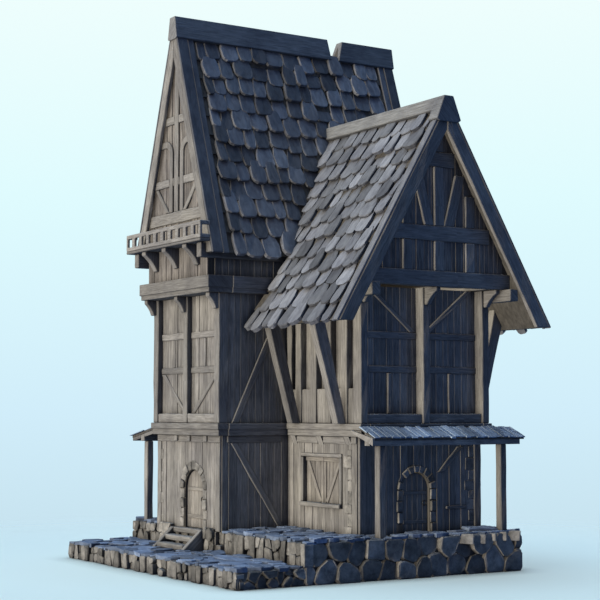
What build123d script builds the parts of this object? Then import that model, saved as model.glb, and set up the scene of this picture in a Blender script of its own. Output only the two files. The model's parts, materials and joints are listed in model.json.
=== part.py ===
from build123d import *
import math
import os

# Timber house on a stepped stone base: a tall main range along X and a front wing along Y.
# Plan lengths are taken from the near corner of the base; heights from its underside.

# Base, with its margins round the walls
west_terrace = 2060
wall_margin = 40
east_margin = 760
front_margin = 950
north_margin = 1950
plinth_north_inset = 200
terrace_rise = 460
plinth_rise = 620

# Plan and storeys
main_length = 6420
main_width = 3860
wing_depth = 3570
wing_width = 4200
ground_wall = 150
ground_storey = 2700
sill_depth = 350
sill_plank = 170
sill_step = 40
sill_reach = 50
deck_thick = 140
upper_storey = 3710
plate_depth = 480
plate_board = 140
joint_gap = 2

# Steps up to the side door
step_run = 830
step_width = 1900
step_shift = 190
stringer_thick = 150
stringer_toe = 150
tread_thick = 150
tread_count = 3
cheek_gap = 8
cheek_reach = 100
cheek_rise = 90

# Main range, upper storey and plates
end_jetty = 170
side_jetty = 110
end_set_back = 210
side_set_back = 100
board_wall = 180
corner_long = 330
post_size = 240
plate_end_jetty = 430
plate_side_jetty = 140

# Main attic and roof
gable_inset = 190
gable_thick = 200
frieze_inset = 80
gable_timber = 90
main_eave_reach = 490
main_eave_rise = 630
main_roof_rise = 7050
verge_reach = 210
east_verge_reach = 390
barge_thick = 120
main_barge_wide = 340
roof_thick = 200
shingle_course = 640
shingle_step = 70
cap_thick = 110
cap_reach = 40
cap_crown = 170
cap_flat = 160
cap_notch_start_share = 0.684
cap_notch_end_share = 0.753
notch_west_taper = 110
notch_east_taper = 230
notch_deep = 620
main_cap_fall = 520
eave_beam_deep = 260
eave_beam_drop = 130
eave_beam_reach = 180

# Gallery under the main gable
gallery_reach = 560
gallery_inset = 70
gallery_rise = 930
gallery_floor_thick = 80
gallery_high = 580
gallery_rail = 120
gallery_board = 90
gallery_slots = 10
slot_share = 0.62
gallery_bracket_wide = 240
gallery_bracket_high = 590
gallery_bracket_inset = 60
gallery_bracket_gap = 1290

# Wing
wing_side_jetty = 120
wing_front_jetty = 330
wing_front_set_back = 370
wing_side_set_back = 240
wing_board_wall = 150
wing_gable_jetty = 620
wing_plate_step = 60
wing_side_post = 300
wing_post_shares = (0.222, 0.435, 0.633, 0.842)
wing_strut_shares = (0.222, 0.842)
wing_panel_high = 970
wing_panel_thick = 90
wing_panel_set_back = 40
eave_plate_deep = 340
eave_plate_wide = 300
eave_plate_reach = 330
wing_eave_reach = 1500
wing_eave_drop = 1470
wing_roof_rise = 6120
wing_verge_reach = 400
wing_barge_wide = 390
wing_cap_fall = 260
wing_cap_reach = 70
wing_block_fall = 560
wing_block_long = 420
strut_wide = 280
strut_thick = 280
strut_lean = 1080

# Doors
door_thick = 70
door_gap = 16
hinge_pin = 10
hinge_eye = 22
hinge_boss = 14
hinge_clearance = 0.1
hinge_seat = 0.3
hinge_offset = 30
hinge_lug = 70
lug_reach = 12
lug_high = 40
eye_high = 70
strap_thick = 16
strap_start = 6
strap_share = 0.82
strap_rise = 320
strap_spacing = 780
arch_reach = 70
head_cover = 30
front_door_shift = 160
front_door_wide = 950
front_jamb = 1235
front_arch_band = 200
side_door_shift = 340
side_door_wide = 1140
side_jamb = 1140
side_arch_band = 230

# Window in the west side of the wing
window_wide = 2070
window_rise = 720
window_tall = 1500
window_bar = 110
window_proud = 50
window_sill_deep = 70
shutter_thick = 60
shutter_set_back = 90
shutter_gap = 8
shutter_rail = 130
shutter_batten = 30

# Framing
rail_proud = 70
rail_high = 190
lower_rail_rise = 1450
upper_rail_rise = 2470
wing_lower_rail_rise = 1400
wing_upper_rail_rise = 2340
ledge_high = 270
ledge_proud = 180
stile_wide = 130
brace_wide = 230
joist_wide = 180
joist_high = 180
joist_reach = 60
jetty_bracket_wide = 260
jetty_bracket_deep = 310
ground_rail_high = 200
ground_post = 240
plate_bracket_wide = 200
plate_bracket_deep = 460
gable_bracket_wide = 160
gable_bracket_deep = 480
bracket_inset = 60
bracket_nose = 110
bracket_hollow_share = 0.1
front_brace_rise = 1690
front_brace_gap = 165
front_brace_run = 700
front_brace_climb = 710
shelf_gap = 335
shelf_long = 730
shelf_rise = 660
shelf_thick = 90
shelf_reach = 90

# Gable framing
tie_rise = 1060
tie_deep = 340
collar_high = 240
collar_shares = (0.167, 0.562)
king_wide = 240
hook_share = 0.368
hook_gap = 110
hook_wide = 200
hook_bend = 250
wing_collar_shares = (0.209, 0.73)
wing_collar_high = 420
wing_brace_wide = 340
wing_king_wide = 340
wing_stud_wide = 330
wing_stud_offset = 1080

# Porches
porch_post = 210
porch_post_deep = 230
porch_beam_drop = 230
porch_roof_thick = 60
porch_seat = 10
south_porch_reach = 650
south_porch_fall = 280
south_porch_overlap = 170
south_porch_overhang = 20
rake_tail = 60
south_post_set = 230
south_post_west_set = 320
south_post_east_set = 660
south_beam_short = 150
fascia_thick = 60
north_porch_reach = 1750
north_porch_fall = 330
north_post_set = 810
north_porch_inset = 20
north_post_end = 120

os.makedirs("parts", exist_ok=True)

# Derived levels
terrace_top = terrace_rise
plinth_top = terrace_top + plinth_rise
sill_low = plinth_top + ground_storey
sill_high = sill_low + sill_depth
sill_split = sill_high - sill_plank
deck_low = sill_high - deck_thick
main_plate_low = sill_high + upper_storey
main_plate_split = main_plate_low + plate_board
plate_high = main_plate_low + plate_depth
attic_low = plate_high - deck_thick
wing_plate_low = main_plate_low + wing_plate_step
eave_plate_low = wing_plate_low - eave_plate_deep
main_eave_z = plate_high + main_eave_rise
main_apex_z = main_eave_z + main_roof_rise
wing_eave_z = plate_high - wing_eave_drop
wing_apex_z = wing_eave_z + wing_roof_rise
bay_low = sill_high + ledge_high
lower_rail_z = sill_high + lower_rail_rise
upper_rail_z = sill_high + upper_rail_rise
wing_lower_rail_z = sill_high + wing_lower_rail_rise
wing_upper_rail_z = sill_high + wing_upper_rail_rise

# Derived plan lines
plinth_west = west_terrace
main_ground_west = plinth_west + wall_margin
ground_east = main_ground_west + main_length
wing_ground_front = front_margin
main_ground_south = wing_ground_front + wing_depth
main_ground_north = main_ground_south + main_width
base_length = ground_east + east_margin
base_depth = main_ground_north + north_margin
mid_x = base_length / 2
mid_y = base_depth / 2
main_axis = main_ground_south + main_width / 2
wing_axis = ground_east - wing_width / 2
wing_ground_west = ground_east - wing_width
room_west = main_ground_west + ground_wall
room_east = ground_east - ground_wall
room_south = main_ground_south + ground_wall
room_north = main_ground_north - ground_wall
wing_room_west = wing_ground_west + ground_wall
wing_room_front = wing_ground_front + ground_wall
main_upper_west = main_ground_west - end_jetty
main_upper_east = ground_east + end_jetty
main_upper_south = main_ground_south - side_jetty
main_upper_north = main_ground_north + side_jetty
main_plate_west = main_upper_west - plate_end_jetty
main_plate_east = main_upper_east + plate_end_jetty
main_plate_south = main_upper_south - plate_side_jetty
main_plate_north = main_upper_north + plate_side_jetty
main_board_west = main_upper_west + end_set_back
main_board_east = main_upper_east - end_set_back
main_board_south = main_upper_south + side_set_back
main_board_north = main_upper_north - side_set_back
upper_room_west = main_board_west + board_wall
upper_room_east = main_board_east - board_wall
upper_room_south = main_board_south + board_wall
upper_room_north = main_board_north - board_wall
corner_west = main_upper_west + corner_long
corner_east = main_upper_east - corner_long
gable_west = main_plate_west + gable_inset
gable_east = main_plate_east - gable_inset
frieze_half = main_width / 2 - frieze_inset
frieze_south = main_axis - frieze_half
frieze_north = main_axis + frieze_half
main_eave_half = main_width / 2 + main_eave_reach
verge_west = gable_west - verge_reach
verge_east = gable_east + east_verge_reach
cap_west = verge_west - cap_reach
cap_east = verge_east + cap_reach
wing_upper_half = wing_width / 2 + wing_side_jetty
wing_upper_west = wing_axis - wing_upper_half
wing_upper_east = wing_axis + wing_upper_half
wing_upper_front = wing_ground_front - wing_front_jetty
wing_board_west = wing_upper_west + wing_side_set_back
wing_board_east = wing_upper_east - wing_side_set_back
wing_board_front = wing_upper_front + wing_front_set_back
wing_upper_room_west = wing_board_west + wing_board_wall
wing_upper_room_east = wing_board_east - wing_board_wall
wing_upper_room_front = wing_board_front + board_wall
wing_plate_front = wing_upper_front - wing_gable_jetty
wing_gable_front = wing_plate_front + gable_timber
wing_gable_back = wing_gable_front + gable_thick
wing_eave_half = wing_width / 2 + wing_eave_reach
wing_verge = wing_plate_front - wing_verge_reach
wing_cap_front = wing_verge - wing_cap_reach
eave_plate_front = wing_plate_front - eave_plate_reach

# Derived slopes
main_slope = main_roof_rise / main_eave_half
main_lean = math.atan(main_slope)
main_thick_flat = roof_thick / math.sin(main_lean)
wing_slope = wing_roof_rise / wing_eave_half
wing_lean = math.atan(wing_slope)
wing_thick_flat = roof_thick / math.sin(wing_lean)

# Derived doors and window
front_arch_radius = front_door_wide / 2
side_arch_radius = side_door_wide / 2
front_arch_outer = front_arch_radius + front_arch_band
side_arch_outer = side_arch_radius + side_arch_band
front_door_axis = wing_axis - front_door_shift
side_door_axis = main_axis - side_door_shift
front_door_spring = plinth_top + front_jamb
side_door_spring = plinth_top + side_jamb
front_head_z = front_door_spring + front_arch_outer + head_cover
side_head_z = side_door_spring + side_arch_outer + head_cover
window_mid = (wing_ground_front + main_ground_south) / 2
window_south = window_mid - window_wide / 2
window_north = window_mid + window_wide / 2
window_low = plinth_top + window_rise
window_high = window_low + window_tall


def main_under(y):
    """Height of the underside of the main roof over a line y."""
    inset = main_eave_half - main_thick_flat - abs(y - main_axis)
    return main_eave_z + inset * main_slope


def main_under_half(z):
    """Half width of the main attic under the roof at height z."""
    return main_eave_half - main_thick_flat - (z - main_eave_z) / main_slope


def wing_under(x):
    """Height of the underside of the wing roof over a line x."""
    inset = wing_eave_half - wing_thick_flat - abs(x - wing_axis)
    return wing_eave_z + inset * wing_slope


def wing_under_half(z):
    """Half width of the wing attic under the roof at height z."""
    return wing_eave_half - wing_thick_flat - (z - wing_eave_z) / wing_slope


def block(x0, x1, y0, y1, z0, z1, mode=Mode.ADD):
    """Add one upright block between two opposite corners."""
    with Locations(((x0 + x1) / 2 - mid_x, (y0 + y1) / 2 - mid_y, (z0 + z1) / 2)):
        Box(x1 - x0, y1 - y0, z1 - z0, mode=mode)


def cross_plane(x):
    """Upright plane across X, drawn on in (y, z)."""
    return Plane(origin=(x - mid_x, -mid_y, 0), x_dir=(0, 1, 0), z_dir=(1, 0, 0))


def long_plane(y):
    """Upright plane across Y, drawn on in (x, z)."""
    return Plane(origin=(-mid_x, y - mid_y, 0), x_dir=(1, 0, 0), z_dir=(0, -1, 0))


def prism_x(profile, x0, x1, mode=Mode.ADD):
    """Add a prism along X from a profile of (y, z) points."""
    with BuildSketch(cross_plane(x0)) as face:
        with BuildLine():
            Polyline(*profile, close=True)
        make_face()
    extrude(face.sketch, amount=x1 - x0, mode=mode)


def prism_y(profile, y0, y1, mode=Mode.ADD):
    """Add a prism along Y from a profile of (x, z) points."""
    with BuildSketch(long_plane(y1)) as face:
        with BuildLine():
            Polyline(*profile, close=True)
        make_face()
    extrude(face.sketch, amount=y1 - y0, mode=mode)


def hook_x(side, x0, x1):
    """Add one stud of the main gable whose head bends outward to the roof."""
    inner = main_axis + side * (king_wide / 2 + hook_gap)
    outer = inner + side * hook_wide
    centre = outer + side * hook_bend
    spring = tie_high + (king_top - tie_high) * hook_share
    crown = spring + hook_bend
    top = crown + hook_wide
    foot = tie_high + joint_gap
    dip = hook_bend * math.sqrt(1 / 2)
    rise = (hook_bend + hook_wide) * math.sqrt(1 / 2)
    low_end = main_axis + side * main_under_half(crown)
    top_end = main_axis + side * main_under_half(top)
    with BuildSketch(cross_plane(x0)) as face:
        with BuildLine():
            Line((outer, foot), (inner, foot))
            Line((inner, foot), (inner, spring))
            ThreePointArc((inner, spring), (centre - side * rise, spring + rise), (centre, top))
            Line((centre, top), (top_end, top))
            Line((top_end, top), (low_end, crown))
            Line((low_end, crown), (centre, crown))
            ThreePointArc((centre, crown), (centre - side * dip, spring + dip), (outer, spring))
            Line((outer, spring), (outer, foot))
        make_face()
    extrude(face.sketch, amount=x1 - x0)


def bracket(plane, length, face, tip, top, foot):
    """Add one bracket in the corner under a beam, hollowed by an arc from its toe to its nose."""
    side = math.copysign(1, tip - face)
    nose = (tip, top - bracket_nose)
    toe = (face + side * bracket_nose, foot)
    middle = ((nose[0] + toe[0]) / 2, (nose[1] + toe[1]) / 2)
    bend = (middle[0] + (face - middle[0]) * bracket_hollow_share,
            middle[1] + (top - middle[1]) * bracket_hollow_share)
    with BuildSketch(plane) as outline:
        with BuildLine():
            Polyline(nose, (tip, top), (face, top), (face, foot), toe)
            ThreePointArc(toe, bend, nose)
        make_face()
    extrude(outline.sketch, amount=length)


def lean_bar(foot, top, width):
    """Profile of a slanting bar with level ends, from a foot point to a top point."""
    half = width / 2
    return (
        (foot[0] - half, foot[1]),
        (foot[0] + half, foot[1]),
        (top[0] + half, top[1]),
        (top[0] - half, top[1]),
    )


def post_round(x, y, z0, z1, radius, mode=Mode.ADD):
    """Add one upright round pin between two heights."""
    with Locations((x - mid_x, y - mid_y, (z0 + z1) / 2)):
        Cylinder(radius, z1 - z0, mode=mode)


def arch_sketch(plane, across, low, spring, radius):
    """Sketch of a round-headed opening on a plane."""
    with BuildSketch(plane) as face:
        with BuildLine():
            Line((across - radius, spring), (across - radius, low))
            Line((across - radius, low), (across + radius, low))
            Line((across + radius, low), (across + radius, spring))
            ThreePointArc((across + radius, spring), (across, spring + radius), (across - radius, spring))
        make_face()
    return face.sketch


def arch_y(across, low, spring, radius, y0, y1, mode=Mode.ADD):
    """Add a round-headed block through a wall that faces Y."""
    plane = Plane(origin=(-mid_x, y1 - mid_y, 0), x_dir=(1, 0, 0), z_dir=(0, -1, 0))
    extrude(arch_sketch(plane, across, low, spring, radius), amount=y1 - y0, mode=mode)


def arch_x(across, low, spring, radius, x0, x1, mode=Mode.ADD):
    """Add a round-headed block through a wall that faces X."""
    plane = Plane(origin=(x0 - mid_x, -mid_y, 0), x_dir=(0, 1, 0), z_dir=(1, 0, 0))
    extrude(arch_sketch(plane, across, low, spring, radius), amount=x1 - x0, mode=mode)


# Base

with BuildPart() as lower_terrace:
    block(0, base_length, 0, base_depth, 0, terrace_top)

with BuildPart() as upper_plinth:
    block(plinth_west, base_length, 0, base_depth - plinth_north_inset, terrace_top, plinth_top)

step_foot = plinth_west - step_run
step_south = side_door_axis + step_shift - step_width / 2
step_north = step_south + step_width

with BuildPart() as step_stringers:
    stringer = (
        (step_foot, terrace_top),
        (plinth_west, terrace_top),
        (plinth_west, plinth_top),
        (plinth_west - stringer_toe, plinth_top),
    )
    prism_y(stringer, step_south, step_south + stringer_thick)
    prism_y(stringer, step_north - stringer_thick, step_north)

with BuildPart() as step_treads:
    rise = plinth_rise / tread_count
    run = step_run / tread_count
    for place in range(tread_count):
        tread_top = plinth_top - rise * place
        tread_back = plinth_west if place == 0 else plinth_west - run * (place - 1 / 2)
        tread_front = plinth_west - run * (place + 1 / 2)
        block(
            tread_front,
            tread_back,
            step_south + stringer_thick,
            step_north - stringer_thick,
            tread_top - tread_thick,
            tread_top,
        )

with BuildPart() as step_cheeks:
    south_cheek_end = min(step_south, side_door_axis - side_arch_outer) - joint_gap
    south_cheek_start = main_ground_south + ground_post + cheek_gap
    north_cheek_start = step_north + joint_gap
    north_cheek_end = main_ground_north - ground_post - cheek_gap
    for south, north in (
        (south_cheek_start, south_cheek_end),
        (north_cheek_start, north_cheek_end),
    ):
        block(plinth_west - cheek_reach, plinth_west, south, north, terrace_top, plinth_top + cheek_rise)

# Ground storey

side_arch_south = side_door_axis - side_arch_outer
side_arch_north = side_door_axis + side_arch_outer
front_arch_west = front_door_axis - front_arch_outer
front_arch_east = front_door_axis + front_arch_outer

with BuildPart() as main_west_wall:
    block(main_ground_west, room_west, main_ground_south, side_arch_south, plinth_top, sill_low)
    block(main_ground_west, room_west, side_arch_north, main_ground_north, plinth_top, sill_low)

with BuildPart() as door_heads:
    block(main_ground_west, room_west, side_arch_south, side_arch_north, side_head_z, sill_low)
    block(front_arch_west, front_arch_east, wing_ground_front, wing_room_front, front_head_z, sill_low)

with BuildPart() as side_door_frame:
    block(main_ground_west, room_west, side_arch_south, side_arch_north, plinth_top, side_head_z)
    arch_x(side_door_axis, plinth_top, side_door_spring, side_arch_radius,
           main_ground_west, room_west, mode=Mode.SUBTRACT)

with BuildPart() as side_door_arch:
    arch_x(side_door_axis, plinth_top, side_door_spring, side_arch_outer,
           main_ground_west - arch_reach, main_ground_west)
    arch_x(side_door_axis, plinth_top, side_door_spring, side_arch_radius,
           main_ground_west - arch_reach, main_ground_west, mode=Mode.SUBTRACT)

side_hinge_x = room_west + hinge_offset
side_hinge_y = side_door_axis + side_arch_radius
front_hinge_x = front_door_axis - front_arch_radius
front_hinge_y = wing_room_front + hinge_offset
strap_low_z = plinth_top + strap_rise
strap_high_z = strap_low_z + strap_spacing

with BuildPart() as side_door:
    arch_x(side_door_axis, plinth_top + door_gap, side_door_spring, side_arch_radius - door_gap,
           room_west - door_thick, room_west)
    for level in (strap_low_z, strap_high_z):
        eye_low = level + lug_high + hinge_seat
        block(room_west, room_west + strap_thick, side_hinge_y - side_door_wide * strap_share,
              side_hinge_y - strap_start, eye_low, eye_low + eye_high)
        post_round(side_hinge_x, side_hinge_y, eye_low, eye_low + eye_high, hinge_eye)
        post_round(side_hinge_x, side_hinge_y, eye_low, eye_low + eye_high,
                   hinge_pin + hinge_clearance, mode=Mode.SUBTRACT)

with BuildPart() as main_side_walls:
    block(room_west, wing_room_west, main_ground_south, room_south, plinth_top, sill_low)
    block(room_west, room_east, room_north, main_ground_north, plinth_top, sill_low)

with BuildPart() as ground_east_wall:
    block(room_east, ground_east, wing_room_front, main_ground_north, plinth_top, sill_low)

with BuildPart() as wing_front_wall:
    block(wing_ground_west, front_arch_west, wing_ground_front, wing_room_front, plinth_top, sill_low)
    block(front_arch_east, ground_east, wing_ground_front, wing_room_front, plinth_top, sill_low)

with BuildPart() as front_door_frame:
    block(front_arch_west, front_arch_east, wing_ground_front, wing_room_front, plinth_top, front_head_z)
    arch_y(front_door_axis, plinth_top, front_door_spring, front_arch_radius,
           wing_ground_front, wing_room_front, mode=Mode.SUBTRACT)

with BuildPart() as front_door_arch:
    arch_y(front_door_axis, plinth_top, front_door_spring, front_arch_outer,
           wing_ground_front - arch_reach, wing_ground_front)
    arch_y(front_door_axis, plinth_top, front_door_spring, front_arch_radius,
           wing_ground_front - arch_reach, wing_ground_front, mode=Mode.SUBTRACT)

with BuildPart() as front_door:
    arch_y(front_door_axis, plinth_top + door_gap, front_door_spring, front_arch_radius - door_gap,
           wing_room_front - door_thick, wing_room_front)
    for level in (strap_low_z, strap_high_z):
        eye_low = level + lug_high + hinge_seat
        block(front_hinge_x + strap_start, front_hinge_x + front_door_wide * strap_share,
              wing_room_front, wing_room_front + strap_thick, eye_low, eye_low + eye_high)
        post_round(front_hinge_x, front_hinge_y, eye_low, eye_low + eye_high, hinge_eye)
        post_round(front_hinge_x, front_hinge_y, eye_low, eye_low + eye_high,
                   hinge_pin + hinge_clearance, mode=Mode.SUBTRACT)

with BuildPart() as door_pintles:
    for level in (strap_low_z, strap_high_z):
        lug_top = level + lug_high
        pin_top = lug_top + eye_high
        block(front_hinge_x - hinge_lug, front_hinge_x, wing_room_front, front_hinge_y + lug_reach,
              level, lug_top)
        post_round(front_hinge_x, front_hinge_y, level, lug_top, hinge_boss)
        post_round(front_hinge_x, front_hinge_y, level, pin_top, hinge_pin)
        block(room_west, side_hinge_x + lug_reach, side_hinge_y, side_hinge_y + hinge_lug, level, lug_top)
        post_round(side_hinge_x, side_hinge_y, level, lug_top, hinge_boss)
        post_round(side_hinge_x, side_hinge_y, level, pin_top, hinge_pin)

with BuildPart() as wing_west_wall:
    block(wing_ground_west, wing_room_west, wing_room_front, main_ground_south, plinth_top, sill_low)
    block(wing_ground_west, wing_room_west, window_south, window_north, window_low, window_high,
          mode=Mode.SUBTRACT)

frame_west = wing_ground_west - window_proud

with BuildPart() as window_frame:
    block(frame_west - window_sill_deep, wing_room_west, window_south, window_north,
          window_low, window_low + window_bar)
    block(frame_west, wing_room_west, window_south, window_north, window_high - window_bar, window_high)
    for south in (window_south, window_north - window_bar):
        block(frame_west, wing_room_west, south, south + window_bar,
              window_low + window_bar + joint_gap, window_high - window_bar - joint_gap)

shutter_west = wing_ground_west + shutter_set_back
shutter_face = shutter_west - shutter_batten
shutter_low = window_low + window_bar
shutter_top = window_high - window_bar

with BuildPart() as window_shutters:
    for side in (-1, 1):
        inner = window_mid + side * shutter_gap / 2
        outer = window_mid + side * (window_wide / 2 - window_bar)
        south = min(inner, outer)
        north = max(inner, outer)
        block(shutter_west, shutter_west + shutter_thick, south, north, shutter_low, shutter_top)
        block(shutter_face, shutter_west, south, north, shutter_top - shutter_rail, shutter_top)
        stile = inner + side * shutter_rail / 2
        block(shutter_face, shutter_west, min(inner, stile), max(inner, stile), shutter_low, shutter_top)
        foot = inner + side * shutter_rail / 2
        head = outer - side * shutter_rail
        prism_x(lean_bar((foot, shutter_low), (head, shutter_top - shutter_rail), shutter_rail),
                shutter_face, shutter_west)

bracket_front = wing_ground_front + jetty_bracket_wide + jetty_bracket_wide / 2
bracket_back = main_ground_south - side_jetty - sill_reach - jetty_bracket_wide
bracket_places = (bracket_front, (bracket_front + bracket_back) / 2, bracket_back)
wall_rail_low = sill_low - ground_rail_high

with BuildPart() as ground_framing:
    block(main_ground_west - rail_proud, main_ground_west, main_ground_south, main_ground_north,
          wall_rail_low, sill_low)
    for south in (main_ground_south, main_ground_north - ground_post):
        block(main_ground_west - rail_proud, main_ground_west, south, south + ground_post,
              plinth_top, wall_rail_low - joint_gap)
    block(room_west, wing_ground_west - jetty_bracket_wide, main_ground_south - rail_proud,
          main_ground_south, wall_rail_low, sill_low)
    prism_y(lean_bar((wing_ground_west - brace_wide, plinth_top),
                     (room_west + brace_wide, wall_rail_low - joint_gap), brace_wide),
            main_ground_south - rail_proud, main_ground_south)
    block(wing_ground_west - rail_proud, wing_ground_west, wing_ground_front, bracket_back,
          wall_rail_low, sill_low)
    for along in bracket_places:
        block(wing_ground_west - rail_proud, wing_ground_west, along - jetty_bracket_wide / 2,
              along + jetty_bracket_wide / 2, wall_rail_low, sill_low, mode=Mode.SUBTRACT)
    for west in (wing_ground_west, ground_east - ground_post):
        block(west, west + ground_post, wing_ground_front - rail_proud, wing_ground_front,
              plinth_top, sill_low)
    brace_west = front_arch_east + front_brace_gap
    prism_y(lean_bar((brace_west, plinth_top + front_brace_rise),
                     (brace_west + front_brace_run, plinth_top + front_brace_rise + front_brace_climb),
                     brace_wide),
            wing_ground_front - rail_proud, wing_ground_front)
    shelf_west = front_arch_east + shelf_gap
    block(shelf_west, shelf_west + shelf_long, wing_ground_front - shelf_reach, wing_ground_front,
          plinth_top + shelf_rise, plinth_top + shelf_rise + shelf_thick)

with BuildPart() as joist_ends:
    for along in (side_arch_south, side_door_axis + step_shift, side_arch_north + joist_wide):
        block(main_ground_west - rail_proud - joist_reach, main_ground_west - rail_proud,
              along - joist_wide / 2, along + joist_wide / 2, sill_low - joist_high, sill_low)
    for along in bracket_places:
        bracket_tip = wing_upper_west - sill_reach + sill_step
        prism_y(((wing_ground_west, sill_low), (bracket_tip, sill_low),
                 (bracket_tip, sill_low - joint_gap),
                 (wing_ground_west, sill_low - jetty_bracket_deep)),
                along - jetty_bracket_wide / 2, along + jetty_bracket_wide / 2)

# First floor

main_sill_west = main_upper_west - sill_reach
main_sill_east = main_upper_east + sill_reach
main_sill_south = main_upper_south - sill_reach
main_sill_north = main_upper_north + sill_reach
wing_sill_west = wing_upper_west - sill_reach
wing_sill_east = wing_upper_east + sill_reach
wing_sill_front = wing_upper_front - sill_reach

with BuildPart() as sill_beams:
    for step, low, high in ((sill_step, sill_low, sill_split), (0, sill_split, sill_high)):
        south = main_sill_south + step
        north = main_sill_north - step
        front = wing_sill_front + step
        back = main_sill_south - joint_gap
        block(main_sill_west + step, room_west, south, north, low, high)
        block(room_east, main_sill_east - step, south, north, low, high)
        block(room_west + joint_gap, room_east - joint_gap, south, room_south, low, high)
        block(room_west + joint_gap, room_east - joint_gap, room_north, north, low, high)
        block(wing_sill_west + step, wing_room_west, front, back, low, high)
        block(room_east, wing_sill_east - step, front, back, low, high)
        block(wing_room_west + joint_gap, room_east - joint_gap, front, wing_room_front, low, high)

with BuildPart() as first_floor_decks:
    block(room_west, room_east, room_south, room_north, deck_low, sill_high)
    block(wing_room_west, room_east, wing_room_front, main_sill_south, deck_low, sill_high)

# Upper storey of the main range

corner_south = main_upper_south + side_set_back + board_wall
corner_north = main_upper_north - side_set_back - board_wall

with BuildPart() as main_posts:
    for west, east in ((main_upper_west, corner_west), (corner_east, main_upper_east)):
        for south, north in ((main_upper_south, corner_south), (corner_north, main_upper_north)):
            block(west, east, south, north, sill_high, main_plate_low)
    block(main_upper_west, main_board_west, main_axis - post_size / 2, main_axis + post_size / 2,
          sill_high, main_plate_low)
    block(main_board_east, main_upper_east, main_axis - post_size / 2, main_axis + post_size / 2,
          sill_high, main_plate_low)
    for share in (1 / 3, 2 / 3):
        along = main_upper_west + (main_upper_east - main_upper_west) * share
        block(along - post_size / 2, along + post_size / 2, main_board_north, main_upper_north,
              sill_high, main_plate_low)

with BuildPart() as main_end_walls:
    block(main_board_west, upper_room_west, corner_south, corner_north, sill_high, main_plate_low)
    block(upper_room_east, main_board_east, corner_south, corner_north, sill_high, main_plate_low)

with BuildPart() as main_long_walls:
    block(corner_west, wing_upper_room_west, main_board_south, upper_room_south, sill_high, main_plate_low)
    block(corner_west, corner_east, upper_room_north, main_board_north, sill_high, main_plate_low)

with BuildPart() as main_framing:
    for face, side in ((main_board_west, -1), (main_board_east, 1)):
        rail_face = face + side * rail_proud
        ledge_face = face + side * ledge_proud
        face_west = min(face, rail_face)
        face_east = max(face, rail_face)
        for south, north in (
            (corner_south, main_axis - post_size / 2),
            (main_axis + post_size / 2, corner_north),
        ):
            middle = (south + north) / 2
            for rail_z in (lower_rail_z, upper_rail_z):
                block(face_west, face_east, south, north, rail_z, rail_z + rail_high)
            block(face_west, face_east, middle - stile_wide / 2, middle + stile_wide / 2,
                  lower_rail_z + rail_high + joint_gap, upper_rail_z - joint_gap)
            block(min(face, ledge_face), max(face, ledge_face), south, north, sill_high, bay_low)
        near_post = post_size / 2 + brace_wide / 2
        far_post = corner_north - main_axis - brace_wide / 2
        for turn in (-1, 1):
            prism_x(lean_bar((main_axis + turn * near_post, bay_low + joint_gap),
                             (main_axis + turn * far_post, lower_rail_z - joint_gap), brace_wide),
                    face_west, face_east)
    prism_y(lean_bar((corner_west + brace_wide, sill_high),
                     (wing_upper_west - strut_lean / 2, upper_rail_z), brace_wide),
            main_board_south - rail_proud, main_board_south)

with BuildPart() as main_plates:
    for step, low, high in (
        (sill_step, main_plate_low, main_plate_split),
        (0, main_plate_split, plate_high),
    ):
        south = main_plate_south + step
        north = main_plate_north - step
        block(main_plate_west + step, upper_room_west, south, north, low, high)
        block(upper_room_east, main_plate_east - step, south, north, low, high)
        block(upper_room_west + joint_gap, upper_room_east - joint_gap, south, upper_room_south, low, high)
        block(upper_room_west + joint_gap, upper_room_east - joint_gap, upper_room_north, north, low, high)

with BuildPart() as plate_brackets:
    half = plate_bracket_wide / 2
    for along in (main_upper_south + half, main_axis, main_upper_north - half):
        for face, side in ((main_upper_west, -1), (main_upper_east, 1)):
            tip = face + side * (plate_end_jetty - sill_step - bracket_inset)
            bracket(long_plane(along + half), plate_bracket_wide, face, tip,
                    main_plate_low, main_plate_low - plate_bracket_deep)

with BuildPart() as attic_floors:
    block(upper_room_west, upper_room_east, upper_room_south, upper_room_north, attic_low, plate_high)
    block(wing_upper_room_west, wing_upper_room_east, wing_gable_back, main_plate_south,
          attic_low, plate_high)

# Main attic and roof

with BuildPart() as frieze_walls:
    for side in (-1, 1):
        outer = main_axis + side * frieze_half
        inner = outer - side * gable_thick
        prism_x(((outer, plate_high), (inner, plate_high),
                 (inner, main_under(inner)), (outer, main_under(outer))),
                gable_west + gable_thick, gable_east - gable_thick)

gable_profile = (
    (frieze_south, plate_high),
    (frieze_north, plate_high),
    (frieze_north, main_under(frieze_north)),
    (main_axis, main_under(main_axis)),
    (frieze_south, main_under(frieze_south)),
)

with BuildPart() as main_gables:
    prism_x(gable_profile, gable_west, gable_west + gable_thick)
    prism_x(gable_profile, gable_east - gable_thick, gable_east)

eave_beam_low = main_eave_z - eave_beam_drop
gallery_low = plate_high + gallery_rise
eave_beam_top = min(main_under(frieze_north + eave_beam_deep), gallery_low) - joint_gap

tie_low = main_eave_z + tie_rise
tie_high = tie_low + tie_deep
king_top = main_under(main_axis + king_wide / 2)
low_collar, high_collar = (tie_high + (king_top - tie_high) * share for share in collar_shares)

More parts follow.
